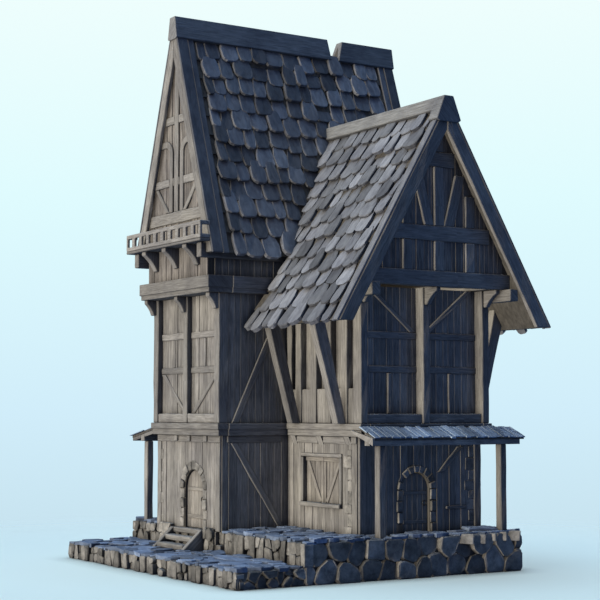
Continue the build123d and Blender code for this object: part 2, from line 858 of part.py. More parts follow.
with BuildPart() as main_gable_frame:
    for face_west, face_east in (
        (gable_west - gable_timber, gable_west),
        (gable_east, gable_east + gable_timber),
    ):
        tie_half = main_under_half(tie_high)
        block(face_west, face_east, main_axis - tie_half, main_axis + tie_half, tie_low, tie_high)
        block(face_west, face_east, main_axis - king_wide / 2, main_axis + king_wide / 2,
              tie_high + joint_gap, king_top)
        king_side = king_wide / 2 + joint_gap
        hook_inner = king_wide / 2 + hook_gap
        hook_outer = hook_inner + hook_wide
        low_end = main_under_half(low_collar + collar_high)
        high_end = main_under_half(high_collar + collar_high)
        for side in (-1, 1):
            for near, far, level in (
                (king_side, hook_inner - joint_gap, low_collar),
                (hook_outer + joint_gap, low_end, low_collar),
                (king_side, high_end, high_collar),
            ):
                span = sorted((main_axis + side * near, main_axis + side * far))
                block(face_west, face_east, *span, level, level + collar_high)
            hook_x(side, face_west, face_east)
            foot = hook_outer + hook_wide / 2 + joint_gap
            head = main_under_half(low_collar) - hook_wide
            prism_x(lean_bar((main_axis + side * foot, tie_high + joint_gap),
                             (main_axis + side * head, low_collar - joint_gap), hook_wide),
                    face_west, face_east)

def slope_profile(axis, side, half, eave_z, slope, cap_fall):
    """Section of one roof slope, stepped out at the foot of each course up to the ridge cap."""
    lean = math.atan(slope)
    apex = eave_z + half * slope
    covered = half * slope - cap_fall
    courses = max(1, round(covered / math.sin(lean) / shingle_course))
    dip_flat = side * shingle_step * math.sin(lean)
    dip_drop = shingle_step * math.cos(lean)
    outline = [(axis + side * half, eave_z)]
    for course in range(1, courses + 1):
        climb = covered * course / courses
        outer = axis + side * (half - climb / slope)
        outline.append((outer - dip_flat, eave_z + climb - dip_drop))
        outline.append((outer, eave_z + climb))
    outline.append((axis, apex))
    outline.append((axis, apex - roof_thick / math.cos(lean)))
    outline.append((axis + side * (half - roof_thick / math.sin(lean)), eave_z))
    return outline


cap_notch_start = cap_west + (cap_east - cap_west) * cap_notch_start_share
cap_notch_end = cap_west + (cap_east - cap_west) * cap_notch_end_share
notch_low = main_apex_z - notch_deep
notch_top = main_apex_z + cap_crown
ridge_notch = (
    (cap_notch_start, notch_top),
    (cap_notch_end, notch_top),
    (cap_notch_end - notch_east_taper, notch_low),
    (cap_notch_start + notch_west_taper, notch_low),
)


def cut_notch():
    """Cut the worn gap in the main ridge."""
    prism_y(ridge_notch, main_axis - notch_deep, main_axis + notch_deep, mode=Mode.SUBTRACT)


with BuildPart() as main_roof_south:
    prism_x(slope_profile(main_axis, -1, main_eave_half, main_eave_z, main_slope, main_cap_fall),
            verge_west + barge_thick, verge_east - barge_thick)
    cut_notch()

with BuildPart() as main_roof_north:
    prism_x(slope_profile(main_axis, 1, main_eave_half, main_eave_z, main_slope, main_cap_fall),
            verge_west + barge_thick, verge_east - barge_thick)
    cut_notch()

main_barge_flat = main_barge_wide / math.sin(main_lean)
main_barge_drop = main_barge_wide / math.cos(main_lean)
wing_barge_flat = wing_barge_wide / math.sin(wing_lean)
wing_barge_drop = wing_barge_wide / math.cos(wing_lean)


def barge_profile(side):
    """Profile of one barge board of the main roof."""
    joint = main_axis + side * joint_gap
    joint_drop = joint_gap * main_slope
    return (
        (main_axis + side * main_eave_half, main_eave_z),
        (main_axis + side * (main_eave_half - main_barge_flat), main_eave_z),
        (joint, main_apex_z - main_barge_drop - joint_drop),
        (joint, main_apex_z - joint_drop),
    )


with BuildPart() as main_eave_beams:
    for side in (-1, 1):
        inner = main_axis + side * frieze_half
        outer = inner + side * eave_beam_deep
        block(verge_west - eave_beam_reach, verge_east, min(inner, outer), max(inner, outer),
              eave_beam_low, eave_beam_top)
    for x0, x1 in ((verge_west, verge_west + barge_thick), (verge_east - barge_thick, verge_east)):
        for side in (-1, 1):
            prism_x(barge_profile(side), x0, x1, mode=Mode.SUBTRACT)

with BuildPart() as barge_boards:
    for x0, x1 in ((verge_west, verge_west + barge_thick), (verge_east - barge_thick, verge_east)):
        for side in (-1, 1):
            prism_x(barge_profile(side), x0, x1)
    for side in (-1, 1):
        joint = wing_axis + side * joint_gap
        joint_drop = joint_gap * wing_slope
        prism_y(((wing_axis + side * wing_eave_half, wing_eave_z),
                 (wing_axis + side * (wing_eave_half - wing_barge_flat), wing_eave_z),
                 (joint, wing_apex_z - wing_barge_drop - joint_drop),
                 (joint, wing_apex_z - joint_drop)), wing_verge, wing_verge + barge_thick)

main_envelope = (
    (main_board_south, 0),
    (main_board_south, main_plate_low),
    (main_plate_south, main_plate_low),
    (main_plate_south, main_eave_z),
    (main_axis - main_eave_half, main_eave_z),
    (main_axis, main_apex_z),
    (main_axis + main_eave_half, main_apex_z),
    (main_axis + main_eave_half, 0),
)


def cap_profile(axis, apex, slope, fall):
    """Profile of a ridge cap laid over two slopes that meet on an axis."""
    lean = math.atan(slope)
    out = cap_thick * math.sin(lean)
    up = cap_thick * math.cos(lean)
    foot = fall / slope
    return (
        (axis, apex),
        (axis - foot, apex - fall),
        (axis - foot - out, apex - fall + up),
        (axis - cap_flat, apex + cap_crown),
        (axis + cap_flat, apex + cap_crown),
        (axis + foot + out, apex - fall + up),
        (axis + foot, apex - fall),
    )


with BuildPart() as ridge_caps:
    wing_cap = cap_profile(wing_axis, wing_apex_z, wing_slope, wing_cap_fall)
    wing_block = cap_profile(wing_axis, wing_apex_z, wing_slope, wing_block_fall)
    prism_y(wing_cap, wing_cap_front, main_axis)
    prism_y(wing_block, wing_cap_front, wing_cap_front + wing_block_long)
    prism_y(wing_block[1:], wing_cap_front, wing_verge)
    prism_x(main_envelope, wing_axis - wing_block_fall, wing_axis + wing_block_fall, mode=Mode.SUBTRACT)
    main_cap = cap_profile(main_axis, main_apex_z, main_slope, main_cap_fall)
    prism_x(main_cap, cap_west, cap_east)
    cut_notch()
    prism_x(main_cap[1:], cap_west, verge_west)
    prism_x(main_cap[1:], verge_east, cap_east)

# Gallery

gallery_deck = gallery_low + gallery_floor_thick
gallery_top = gallery_low + gallery_high
gallery_half = main_eave_half - gallery_inset
gallery_south = main_axis - gallery_half
gallery_north = main_axis + gallery_half
gallery_front = gable_west - gallery_reach
slot_low = gallery_deck + gallery_rail
slot_high = gallery_top - gallery_rail

with BuildPart() as gallery_floor:
    block(gallery_front, verge_west, gallery_south, gallery_north, gallery_low, gallery_deck)
    block(verge_west, gable_west, frieze_south, frieze_north, gallery_low, gallery_deck)

with BuildPart() as gallery_parapet:
    board_back = gallery_front + gallery_board
    block(gallery_front, board_back, gallery_south, gallery_north, gallery_deck, gallery_top)
    for side in (-1, 1):
        outer = main_axis + side * gallery_half
        inner = outer - side * gallery_board
        south = min(inner, outer)
        north = max(inner, outer)
        block(board_back, verge_west, south, north, gallery_deck, gallery_top)
        block(board_back, verge_west, south, north, slot_low, slot_high, mode=Mode.SUBTRACT)
    pitch = (gallery_north - gallery_south) / gallery_slots
    for place in range(gallery_slots):
        middle = gallery_south + pitch * (place + 1 / 2)
        slot = pitch * slot_share / 2
        block(gallery_front, board_back, middle - slot, middle + slot, slot_low, slot_high, mode=Mode.SUBTRACT)

with BuildPart() as gallery_brackets:
    half = gallery_bracket_wide / 2
    for along in (main_axis - gallery_bracket_gap, main_axis, main_axis + gallery_bracket_gap):
        bracket(long_plane(along + half), gallery_bracket_wide, gable_west,
                gallery_front + gallery_bracket_inset, gallery_low, gallery_low - gallery_bracket_high)

# Upper storey of the wing

wing_side_south = wing_upper_front + wing_front_set_back
wing_side_long = main_upper_south - wing_upper_front
junction_south = main_upper_south - post_size

with BuildPart() as wing_posts:
    for west, east in ((wing_upper_west, wing_board_west), (wing_board_east, wing_upper_east)):
        block(west, east, wing_upper_front, wing_side_south, sill_high, wing_plate_low)
        block(west, east, junction_south, main_upper_south, sill_high, main_plate_low)
        for share in wing_post_shares:
            along = wing_upper_front + wing_side_long * share
            block(west, east, along - wing_side_post / 2, along + wing_side_post / 2,
                  sill_high, wing_plate_low)
    block(wing_axis - post_size / 2, wing_axis + post_size / 2, wing_upper_front, wing_board_front,
          sill_high, wing_plate_low)

with BuildPart() as wing_side_walls:
    block(wing_board_west, wing_upper_room_west, wing_upper_room_front, main_board_south,
          sill_high, main_plate_low)
    block(wing_upper_room_east, wing_board_east, wing_upper_room_front, main_upper_south,
          sill_high, main_plate_low)

with BuildPart() as wing_wall_heads:
    block(wing_board_west, wing_upper_room_west, wing_upper_room_front, main_plate_south,
          main_plate_low, wing_plate_low)
    block(wing_upper_room_east, wing_board_east, wing_upper_room_front, main_plate_south,
          main_plate_low, wing_plate_low)

with BuildPart() as wing_upper_front_wall:
    block(wing_board_west, wing_board_east, wing_board_front, wing_upper_room_front,
          sill_high, wing_plate_low)

panel_edges = [wing_side_south]
for share in wing_post_shares:
    post_middle = wing_upper_front + wing_side_long * share
    panel_edges.append(post_middle - wing_side_post / 2)
    panel_edges.append(post_middle + wing_side_post / 2)
panel_edges.append(junction_south)

with BuildPart() as wing_framing:
    face_front = wing_board_front - rail_proud
    for west, east in (
        (wing_board_west, wing_axis - post_size / 2),
        (wing_axis + post_size / 2, wing_board_east),
    ):
        middle = (west + east) / 2
        for rail_z in (wing_lower_rail_z, wing_upper_rail_z):
            block(west, east, face_front, wing_board_front, rail_z, rail_z + rail_high)
        block(middle - stile_wide / 2, middle + stile_wide / 2, face_front, wing_board_front,
              bay_low + joint_gap, wing_lower_rail_z - joint_gap)
        block(west, east, wing_upper_front + bracket_inset, wing_board_front, sill_high, bay_low)
    knee_foot = post_size / 2 + brace_wide / 2
    knee_top = wing_upper_half - wing_side_set_back - brace_wide
    for side in (-1, 1):
        prism_y(lean_bar((wing_axis + side * knee_foot, wing_upper_rail_z + rail_high + joint_gap),
                         (wing_axis + side * knee_top, wing_plate_low), brace_wide),
                face_front, wing_board_front)
        face = wing_axis + side * (wing_upper_half - wing_panel_set_back)
        back = face - side * wing_panel_thick
        for south, north in zip(panel_edges[::2], panel_edges[1::2]):
            block(min(face, back), max(face, back), south, north, sill_high, sill_high + wing_panel_high)

tie_half = wing_under_half(plate_high)
tie_west = wing_axis - tie_half
tie_east = wing_axis + tie_half

with BuildPart() as wing_plates:
    block(tie_west, tie_east, wing_plate_front, wing_gable_back, wing_plate_low, plate_high)
    block(tie_west, wing_upper_room_west, wing_gable_back + joint_gap, main_plate_south - joint_gap,
          wing_plate_low, plate_high)
    block(wing_upper_room_east, tie_east, wing_gable_back + joint_gap, main_plate_south - joint_gap,
          wing_plate_low, plate_high)

with BuildPart() as wing_brackets:
    half = gable_bracket_wide / 2
    post_half = wing_side_set_back / 2
    for along in (wing_upper_west + post_half, wing_axis, wing_upper_east - post_half):
        bracket(cross_plane(along - half), gable_bracket_wide, wing_upper_front,
                wing_plate_front + bracket_inset, wing_plate_low, wing_plate_low - gable_bracket_deep)

with BuildPart() as eave_plates:
    block(wing_upper_west - eave_plate_wide, wing_upper_west, eave_plate_front, main_plate_south - joint_gap,
          eave_plate_low, wing_plate_low)
    block(wing_upper_east, wing_upper_east + eave_plate_wide, eave_plate_front, main_plate_south - joint_gap,
          eave_plate_low, wing_plate_low)

with BuildPart() as wing_gable:
    prism_y(((tie_west, plate_high), (tie_east, plate_high), (wing_axis, wing_under(wing_axis))),
            wing_gable_front, wing_gable_back)

wing_king_top = wing_under(wing_axis + wing_king_wide / 2)
wing_low_collar, wing_high_collar = (
    plate_high + (wing_king_top - plate_high) * share for share in wing_collar_shares
)

wing_low_top = wing_low_collar + wing_collar_high
wing_high_top = wing_high_collar + wing_collar_high

with BuildPart() as wing_gable_frame:
    for low, high in ((wing_low_collar, wing_low_top), (wing_high_collar, wing_high_top)):
        reach = wing_under_half(high)
        block(wing_axis - reach, wing_axis + reach, wing_plate_front, wing_gable_front, low, high)
    for low, high in (
        (plate_high, wing_low_collar - joint_gap),
        (wing_low_top + joint_gap, wing_high_collar - joint_gap),
        (wing_high_top + joint_gap, wing_king_top),
    ):
        block(wing_axis - wing_king_wide / 2, wing_axis + wing_king_wide / 2, wing_plate_front,
              wing_gable_front, low, high)
    king_side = wing_king_wide / 2 + joint_gap
    stud_half = wing_stud_wide / 2
    stud_inner = wing_stud_offset - stud_half - joint_gap
    for side in (-1, 1):
        stud = wing_axis + side * wing_stud_offset
        stud_top = wing_under(stud + side * stud_half)
        for low, high in ((plate_high, wing_low_collar - joint_gap), (wing_low_top + joint_gap, stud_top)):
            block(stud - stud_half, stud + stud_half, wing_plate_front, wing_gable_front, low, high)
        foot = wing_axis + side * (king_side + wing_brace_wide / 2)
        head = wing_axis + side * (stud_inner - wing_brace_wide / 2)
        prism_y(lean_bar((foot, wing_low_top + joint_gap),
                         (head, wing_under(head + side * wing_brace_wide / 2)), wing_brace_wide),
                wing_plate_front, wing_gable_front)

roof_front = wing_verge + barge_thick

with BuildPart() as wing_roof_west:
    prism_y(slope_profile(wing_axis, -1, wing_eave_half, wing_eave_z, wing_slope, wing_cap_fall),
            roof_front, main_axis)
    prism_x(main_envelope, 0, base_length, mode=Mode.SUBTRACT)

with BuildPart() as wing_roof_east:
    prism_y(slope_profile(wing_axis, 1, wing_eave_half, wing_eave_z, wing_slope, wing_cap_fall),
            roof_front, main_axis)
    prism_x(main_envelope, 0, base_length + base_length, mode=Mode.SUBTRACT)

with BuildPart() as eave_struts:
    for share in wing_strut_shares:
        along = wing_upper_front + wing_side_long * share
        for side in (-1, 1):
            wall = wing_axis + side * wing_upper_half
            inner = wall + side * (strut_lean - strut_wide)
            outer = wall + side * strut_lean
            prism_y(((wall, sill_high),
                     (wall + side * strut_wide, sill_high),
                     (outer, wing_under(outer)),
                     (inner, wing_under(inner))), along - strut_thick / 2, along + strut_thick / 2)

# Porches

porch_high_z = sill_split + porch_roof_thick + porch_seat
porch_beam_low = sill_low - porch_beam_drop
south_eave = wing_sill_front - south_porch_reach
south_eave_z = porch_high_z - south_porch_fall
south_fall = south_porch_fall / south_porch_reach
south_porch_west = wing_ground_west - south_porch_overlap
south_porch_east = base_length + south_porch_overhang
south_post_front = south_eave + south_post_set
north_eave = main_sill_north + north_porch_reach
north_eave_z = porch_high_z - north_porch_fall
north_fall = north_porch_fall / north_porch_reach
north_porch_west = main_ground_west + north_porch_inset
north_porch_east = ground_east + north_porch_inset
north_post_front = north_eave - north_post_set
north_post_first = north_porch_west + north_post_end
north_post_last = north_porch_east - north_post_end - porch_post


def south_under(y):
    """Underside of the south porch roof."""
    return south_eave_z - porch_roof_thick + (y - south_eave) * south_fall


def north_under(y):
    """Underside of the north porch roof."""
    return north_eave_z - porch_roof_thick + (north_eave - y) * north_fall


with BuildPart() as porch_posts:
    for west in (south_porch_west + south_post_west_set, south_porch_east - south_post_east_set):
        block(west, west + porch_post, south_post_front, south_post_front + porch_post_deep,
              plinth_top, porch_beam_low)
    for west in (north_post_first, (north_post_first + north_post_last) / 2, north_post_last):
        block(west, west + porch_post, north_post_front, north_post_front + porch_post_deep,
              plinth_top, porch_beam_low)

with BuildPart() as porch_beams:
    south_beam_east = south_porch_east - south_beam_short
    beam_back = south_post_front + porch_post_deep
    prism_x(((south_post_front, porch_beam_low), (beam_back, porch_beam_low),
             (beam_back, south_under(beam_back)), (south_post_front, south_under(south_post_front))),
            south_porch_west, south_beam_east)
    fascia_back = south_eave + fascia_thick
    prism_x(((south_eave, porch_beam_low), (fascia_back, porch_beam_low),
             (fascia_back, south_under(fascia_back)), (south_eave, south_under(south_eave))),
            south_porch_west, south_beam_east)
    north_back = north_post_front + porch_post_deep
    prism_x(((north_post_front, porch_beam_low), (north_back, porch_beam_low),
             (north_back, north_under(north_back)), (north_post_front, north_under(north_post_front))),
            north_porch_west, north_porch_east)
    fascia_in = north_eave - fascia_thick
    prism_x(((fascia_in, porch_beam_low), (north_eave, porch_beam_low),
             (north_eave, north_under(north_eave)), (fascia_in, north_under(fascia_in))),
            north_porch_west, north_porch_east)
    prism_x(((south_eave, porch_beam_low), (wing_ground_front, sill_split - rake_tail),
             (wing_ground_front, sill_split), (south_eave, south_eave_z)),
            south_porch_west - fascia_thick, south_porch_west)
    rake_drop = main_sill_north + joint_gap
    rake_low = sill_low - porch_beam_low
    rake_spans = ((rake_drop, north_post_front - joint_gap), (north_back + joint_gap, fascia_in - joint_gap))
    for west in (north_porch_west, north_porch_east - fascia_thick):
        for south, north in rake_spans:
            prism_x(((south, north_under(south) - rake_low / 2), (north, north_under(north) - rake_low / 2),
                     (north, north_under(north)), (south, north_under(south))), west, west + fascia_thick)

with BuildPart() as south_porch_roof:
    prism_x(((south_eave, south_eave_z - porch_roof_thick), (south_eave, south_eave_z),
             (wing_sill_front, porch_high_z), (wing_sill_front, porch_high_z - porch_roof_thick)),
            south_porch_west, south_porch_east)

with BuildPart() as north_porch_roof:
    prism_x(((north_eave, north_eave_z - porch_roof_thick), (north_eave, north_eave_z),
             (main_sill_north, porch_high_z), (main_sill_north, porch_high_z - porch_roof_thick)),
            north_porch_west, north_porch_east)

lower_terrace.part.label = "lower_terrace"
export_step(lower_terrace.part, "parts/lower_terrace.step")
upper_plinth.part.label = "upper_plinth"
export_step(upper_plinth.part, "parts/upper_plinth.step")
step_stringers.part.label = "step_stringers"
export_step(step_stringers.part, "parts/step_stringers.step")
step_treads.part.label = "step_treads"
export_step(step_treads.part, "parts/step_treads.step")
step_cheeks.part.label = "step_cheeks"
export_step(step_cheeks.part, "parts/step_cheeks.step")
main_west_wall.part.label = "main_west_wall"
export_step(main_west_wall.part, "parts/main_west_wall.step")
door_heads.part.label = "door_heads"
export_step(door_heads.part, "parts/door_heads.step")
side_door_frame.part.label = "side_door_frame"
export_step(side_door_frame.part, "parts/side_door_frame.step")
side_door_arch.part.label = "side_door_arch"
export_step(side_door_arch.part, "parts/side_door_arch.step")
side_door.part.label = "side_door"
export_step(side_door.part, "parts/side_door.step")
main_side_walls.part.label = "main_side_walls"
export_step(main_side_walls.part, "parts/main_side_walls.step")
ground_east_wall.part.label = "ground_east_wall"
export_step(ground_east_wall.part, "parts/ground_east_wall.step")
wing_front_wall.part.label = "wing_front_wall"
export_step(wing_front_wall.part, "parts/wing_front_wall.step")
front_door_frame.part.label = "front_door_frame"
export_step(front_door_frame.part, "parts/front_door_frame.step")
front_door_arch.part.label = "front_door_arch"
export_step(front_door_arch.part, "parts/front_door_arch.step")
front_door.part.label = "front_door"
export_step(front_door.part, "parts/front_door.step")
door_pintles.part.label = "door_pintles"
export_step(door_pintles.part, "parts/door_pintles.step")
wing_west_wall.part.label = "wing_west_wall"
export_step(wing_west_wall.part, "parts/wing_west_wall.step")
window_frame.part.label = "window_frame"
export_step(window_frame.part, "parts/window_frame.step")
window_shutters.part.label = "window_shutters"
export_step(window_shutters.part, "parts/window_shutters.step")
ground_framing.part.label = "ground_framing"
export_step(ground_framing.part, "parts/ground_framing.step")
joist_ends.part.label = "joist_ends"
export_step(joist_ends.part, "parts/joist_ends.step")
sill_beams.part.label = "sill_beams"
export_step(sill_beams.part, "parts/sill_beams.step")
first_floor_decks.part.label = "first_floor_decks"
export_step(first_floor_decks.part, "parts/first_floor_decks.step")
main_posts.part.label = "main_posts"
export_step(main_posts.part, "parts/main_posts.step")
main_end_walls.part.label = "main_end_walls"
export_step(main_end_walls.part, "parts/main_end_walls.step")
main_long_walls.part.label = "main_long_walls"
export_step(main_long_walls.part, "parts/main_long_walls.step")
main_framing.part.label = "main_framing"
export_step(main_framing.part, "parts/main_framing.step")
main_plates.part.label = "main_plates"
export_step(main_plates.part, "parts/main_plates.step")
plate_brackets.part.label = "plate_brackets"
export_step(plate_brackets.part, "parts/plate_brackets.step")
attic_floors.part.label = "attic_floors"
export_step(attic_floors.part, "parts/attic_floors.step")
frieze_walls.part.label = "frieze_walls"
export_step(frieze_walls.part, "parts/frieze_walls.step")
main_gables.part.label = "main_gables"
export_step(main_gables.part, "parts/main_gables.step")
main_gable_frame.part.label = "main_gable_frame"
export_step(main_gable_frame.part, "parts/main_gable_frame.step")
main_roof_south.part.label = "main_roof_south"
export_step(main_roof_south.part, "parts/main_roof_south.step")
main_roof_north.part.label = "main_roof_north"
export_step(main_roof_north.part, "parts/main_roof_north.step")
main_eave_beams.part.label = "main_eave_beams"
export_step(main_eave_beams.part, "parts/main_eave_beams.step")
barge_boards.part.label = "barge_boards"
export_step(barge_boards.part, "parts/barge_boards.step")
ridge_caps.part.label = "ridge_caps"
export_step(ridge_caps.part, "parts/ridge_caps.step")
gallery_floor.part.label = "gallery_floor"
export_step(gallery_floor.part, "parts/gallery_floor.step")
gallery_parapet.part.label = "gallery_parapet"
export_step(gallery_parapet.part, "parts/gallery_parapet.step")
gallery_brackets.part.label = "gallery_brackets"
export_step(gallery_brackets.part, "parts/gallery_brackets.step")
wing_posts.part.label = "wing_posts"
export_step(wing_posts.part, "parts/wing_posts.step")
wing_side_walls.part.label = "wing_side_walls"
export_step(wing_side_walls.part, "parts/wing_side_walls.step")
wing_wall_heads.part.label = "wing_wall_heads"
export_step(wing_wall_heads.part, "parts/wing_wall_heads.step")
wing_upper_front_wall.part.label = "wing_upper_front_wall"
export_step(wing_upper_front_wall.part, "parts/wing_upper_front_wall.step")
wing_framing.part.label = "wing_framing"
export_step(wing_framing.part, "parts/wing_framing.step")
wing_plates.part.label = "wing_plates"
export_step(wing_plates.part, "parts/wing_plates.step")
wing_brackets.part.label = "wing_brackets"
export_step(wing_brackets.part, "parts/wing_brackets.step")
eave_plates.part.label = "eave_plates"
export_step(eave_plates.part, "parts/eave_plates.step")
wing_gable.part.label = "wing_gable"
export_step(wing_gable.part, "parts/wing_gable.step")
wing_gable_frame.part.label = "wing_gable_frame"
export_step(wing_gable_frame.part, "parts/wing_gable_frame.step")
wing_roof_west.part.label = "wing_roof_west"
export_step(wing_roof_west.part, "parts/wing_roof_west.step")
wing_roof_east.part.label = "wing_roof_east"
export_step(wing_roof_east.part, "parts/wing_roof_east.step")
eave_struts.part.label = "eave_struts"
export_step(eave_struts.part, "parts/eave_struts.step")
porch_posts.part.label = "porch_posts"
export_step(porch_posts.part, "parts/porch_posts.step")
porch_beams.part.label = "porch_beams"
export_step(porch_beams.part, "parts/porch_beams.step")
south_porch_roof.part.label = "south_porch_roof"
export_step(south_porch_roof.part, "parts/south_porch_roof.step")
north_porch_roof.part.label = "north_porch_roof"
export_step(north_porch_roof.part, "parts/north_porch_roof.step")
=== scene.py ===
"""Steep timber house on a stepped stone base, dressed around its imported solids."""

import json
import logging
import math
import random
from collections.abc import Callable, Iterable, Sequence
from dataclasses import dataclass, field
from enum import Enum

import bmesh
import bpy
import numpy as np
from mathutils import Matrix, Vector


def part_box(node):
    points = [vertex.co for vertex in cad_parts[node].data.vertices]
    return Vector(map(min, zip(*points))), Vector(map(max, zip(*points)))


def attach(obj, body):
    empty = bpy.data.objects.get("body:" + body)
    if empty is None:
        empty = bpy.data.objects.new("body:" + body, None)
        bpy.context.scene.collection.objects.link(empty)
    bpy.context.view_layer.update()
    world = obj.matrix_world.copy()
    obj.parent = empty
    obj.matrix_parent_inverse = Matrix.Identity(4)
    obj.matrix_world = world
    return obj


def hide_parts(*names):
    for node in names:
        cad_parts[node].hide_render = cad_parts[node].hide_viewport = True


log = logging.getLogger("timber_house")
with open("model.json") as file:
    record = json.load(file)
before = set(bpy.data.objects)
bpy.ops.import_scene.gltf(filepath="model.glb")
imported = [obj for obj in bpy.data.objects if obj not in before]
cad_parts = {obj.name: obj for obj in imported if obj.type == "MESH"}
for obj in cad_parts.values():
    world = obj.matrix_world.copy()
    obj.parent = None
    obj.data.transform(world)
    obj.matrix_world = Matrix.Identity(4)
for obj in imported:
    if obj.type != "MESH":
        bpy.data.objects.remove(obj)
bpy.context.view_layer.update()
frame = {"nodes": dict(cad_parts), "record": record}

Colour = tuple[float, float, float]
Point = tuple[float, float]
Size = tuple[float, float, float]
Span = tuple[float, float]
Level = Callable[[float], float]

UP = Vector((0.0, 0.0, 1.0))
WHITE: Colour = (1.0, 1.0, 1.0)

# Lengths that count as nothing, and how near two points of a solid are when they are one.
TINY = 1e-6
MERGE = 1e-5
# Edges bent by more than SHARP are worn, and faces bent by less than FLAT are joined.
SHARP = math.radians(18.0)
FLAT = math.radians(0.5)
# Cosine over which two directions are the same, and sine under which a face is end grain.
PARALLEL = 0.99
END_GRAIN = 0.3
# Corners of a plain bar.
BAR_CORNERS = 8
# How far the grain of like pieces may be moved along.
GRAIN_SHIFT = 40.0
# Painted shade: how open a corner is where ambient occlusion paints it near black, and where it is left clear.
CAVITY_SHADE_STOPS: tuple[tuple[float, Colour], ...] = ((0.36, (0.14, 0.13, 0.14)), (0.92, WHITE))
CAVITY_SHADE_SAMPLES = 4
# Tones of like pieces, from -1 for dark to 1 for pale.
ANY_TONE: Span = (-1.0, 1.0)
DARK_TONE: Span = (-1.0, 0.0)
PALE_TONE: Span = (0.0, 1.0)


class Side(Enum):
    """The four ways that a wall can face, by its outward direction."""

    WEST = (-1.0, 0.0)
    EAST = (1.0, 0.0)
    SOUTH = (0.0, -1.0)
    NORTH = (0.0, 1.0)

    @property
    def outward(self) -> Vector:
        """Unit vector out of the wall."""
        return Vector((self.value[0], self.value[1], 0.0))

    @property
    def along(self) -> Vector:
        """Unit vector along the wall, in the direction of growing X or Y."""
        return Vector((abs(self.value[1]), abs(self.value[0]), 0.0))

    @property
    def turn(self) -> Matrix:
        """Matrix that turns wall coordinates (along, out, up) to those of the house."""
        return Matrix((self.along, self.outward, UP)).transposed().to_4x4()

    def place(self, face: float) -> Matrix:
        """Matrix from wall coordinates (along, out, up) to those of the house.

        Args:
            face: Place of the wall's face on its own axis, in metres.

        Returns:
            The matrix that puts (along, out, up) on that face.
        """
        origin = Vector((abs(self.value[0]), abs(self.value[1]), 0.0)) * face
        return Matrix.Translation(origin) @ self.turn


class ShaderGraph:
    """Short way to add and join the shader nodes of one material."""

    def __init__(self, name: str) -> None:
        """Start an empty material with this name.

        Args:
            name: Name of the material.
        """
        self.material = bpy.data.materials.new(name)
        self.material.use_nodes = True
        self.tree = self.material.node_tree
        self.shader = self.tree.nodes["Principled BSDF"]

    def add(self, kind: str, inputs: dict | None = None, **settings: object) -> bpy.types.Node:
        """Add a node.

        Args:
            kind: Name of the node type after "ShaderNode".
            inputs: Values or sockets for its inputs, by name.
            settings: Properties of the node.

        Returns:
            The new node.
        """
        node = self.tree.nodes.new("ShaderNode" + kind)
        for key, value in settings.items():
            setattr(node, key, value)
        for key, value in (inputs or {}).items():
            self.feed(node.inputs[key], value)
        return node

    def feed(self, socket: bpy.types.NodeSocket, value: object) -> None:
        """Link a socket into an input, or set the input to a plain value.

        Args:
            socket: The input.
            value: A socket or a plain value.
        """
        if isinstance(value, bpy.types.NodeSocket):
            self.tree.links.new(value, socket)
        else:
            socket.default_value = value

    def shade(self, **inputs: object) -> None:
        """Link or set inputs of the shader, by names with underscores for spaces."""
        for key, value in inputs.items():
            self.feed(self.shader.inputs[key.replace("_", " ")], value)

    def object_place(self) -> bpy.types.NodeSocket:
        """Coordinates of the object."""
        return self.add("TexCoord").outputs["Object"]

    def ramp(self, factor: bpy.types.NodeSocket, stops: Sequence[tuple[float, Colour]]) -> bpy.types.NodeSocket:
        """Colour ramp over a factor, from two or more stops.

        Args:
            factor: What runs along the ramp.
            stops: Place and colour of each stop.

        Returns:
            The colour.
        """
        node = self.add("ValToRGB", {"Fac": factor})
        set_stops(node, stops)
        return node.outputs["Color"]

    def multiply(self, factor: float, a: bpy.types.NodeSocket, b: bpy.types.NodeSocket) -> bpy.types.NodeSocket:
        """Multiply one colour by another with a strength.

        Args:
            factor: Strength, from 0 to 1.
            a: The colour.
            b: What it is multiplied by.

        Returns:
            The product.
        """
        node = self.add("Mix", {"Factor": factor}, data_type="RGBA", blend_type="MULTIPLY")
        self.feed(node.inputs["A"], a)
        self.feed(node.inputs["B"], b)
        return node.outputs["Result"]

    def toned(self, colour: bpy.types.NodeSocket, strength: float) -> bpy.types.NodeSocket:
        """Lighten or darken a colour by the tone that each shape carries.

        Args:
            colour: The colour.
            strength: How far a tone of 1 lightens it.

        Returns:
            The toned colour.
        """
        tone = self.add("Attribute", attribute_name="tone")
        value = self.add("Math", operation="MULTIPLY_ADD")
        for socket, term in zip(value.inputs, (tone.outputs["Fac"], strength, 1.0)):
            self.feed(socket, term)
        shade = self.add("HueSaturation", {"Value": value.outputs["Value"], "Color": colour})
        return shade.outputs["Color"]

    def cavity_shaded(self, colour: bpy.types.NodeSocket, strength: float, reach: float) -> bpy.types.NodeSocket:
        """Paint shade into a colour: darken it by ambient occlusion in corners and joints."""
        corner = self.add("AmbientOcclusion", {"Distance": reach}, samples=CAVITY_SHADE_SAMPLES)
        return self.multiply(strength, colour, self.ramp(corner.outputs["AO"], CAVITY_SHADE_STOPS))

    def bump(self, height: bpy.types.NodeSocket, strength: float, distance: float) -> None:
        """Give the shader's normal a bump from a height."""
        node = self.add("Bump", {"Height": height, "Strength": strength, "Distance": distance})
        self.feed(self.shader.inputs["Normal"], node.outputs["Normal"])


def set_stops(node: bpy.types.Node, stops: Sequence[tuple[float, Colour]]) -> None:
    """Set the places and colours of a colour ramp.

    Args:
        node: The ramp's node.
        stops: Place and colour of each stop.
    """
    elements = node.color_ramp.elements
    while len(elements) < len(stops):
        elements.new(1.0)
    for element, (position, colour) in zip(elements, stops):
        element.position = position
        element.color = (*colour, 1.0)


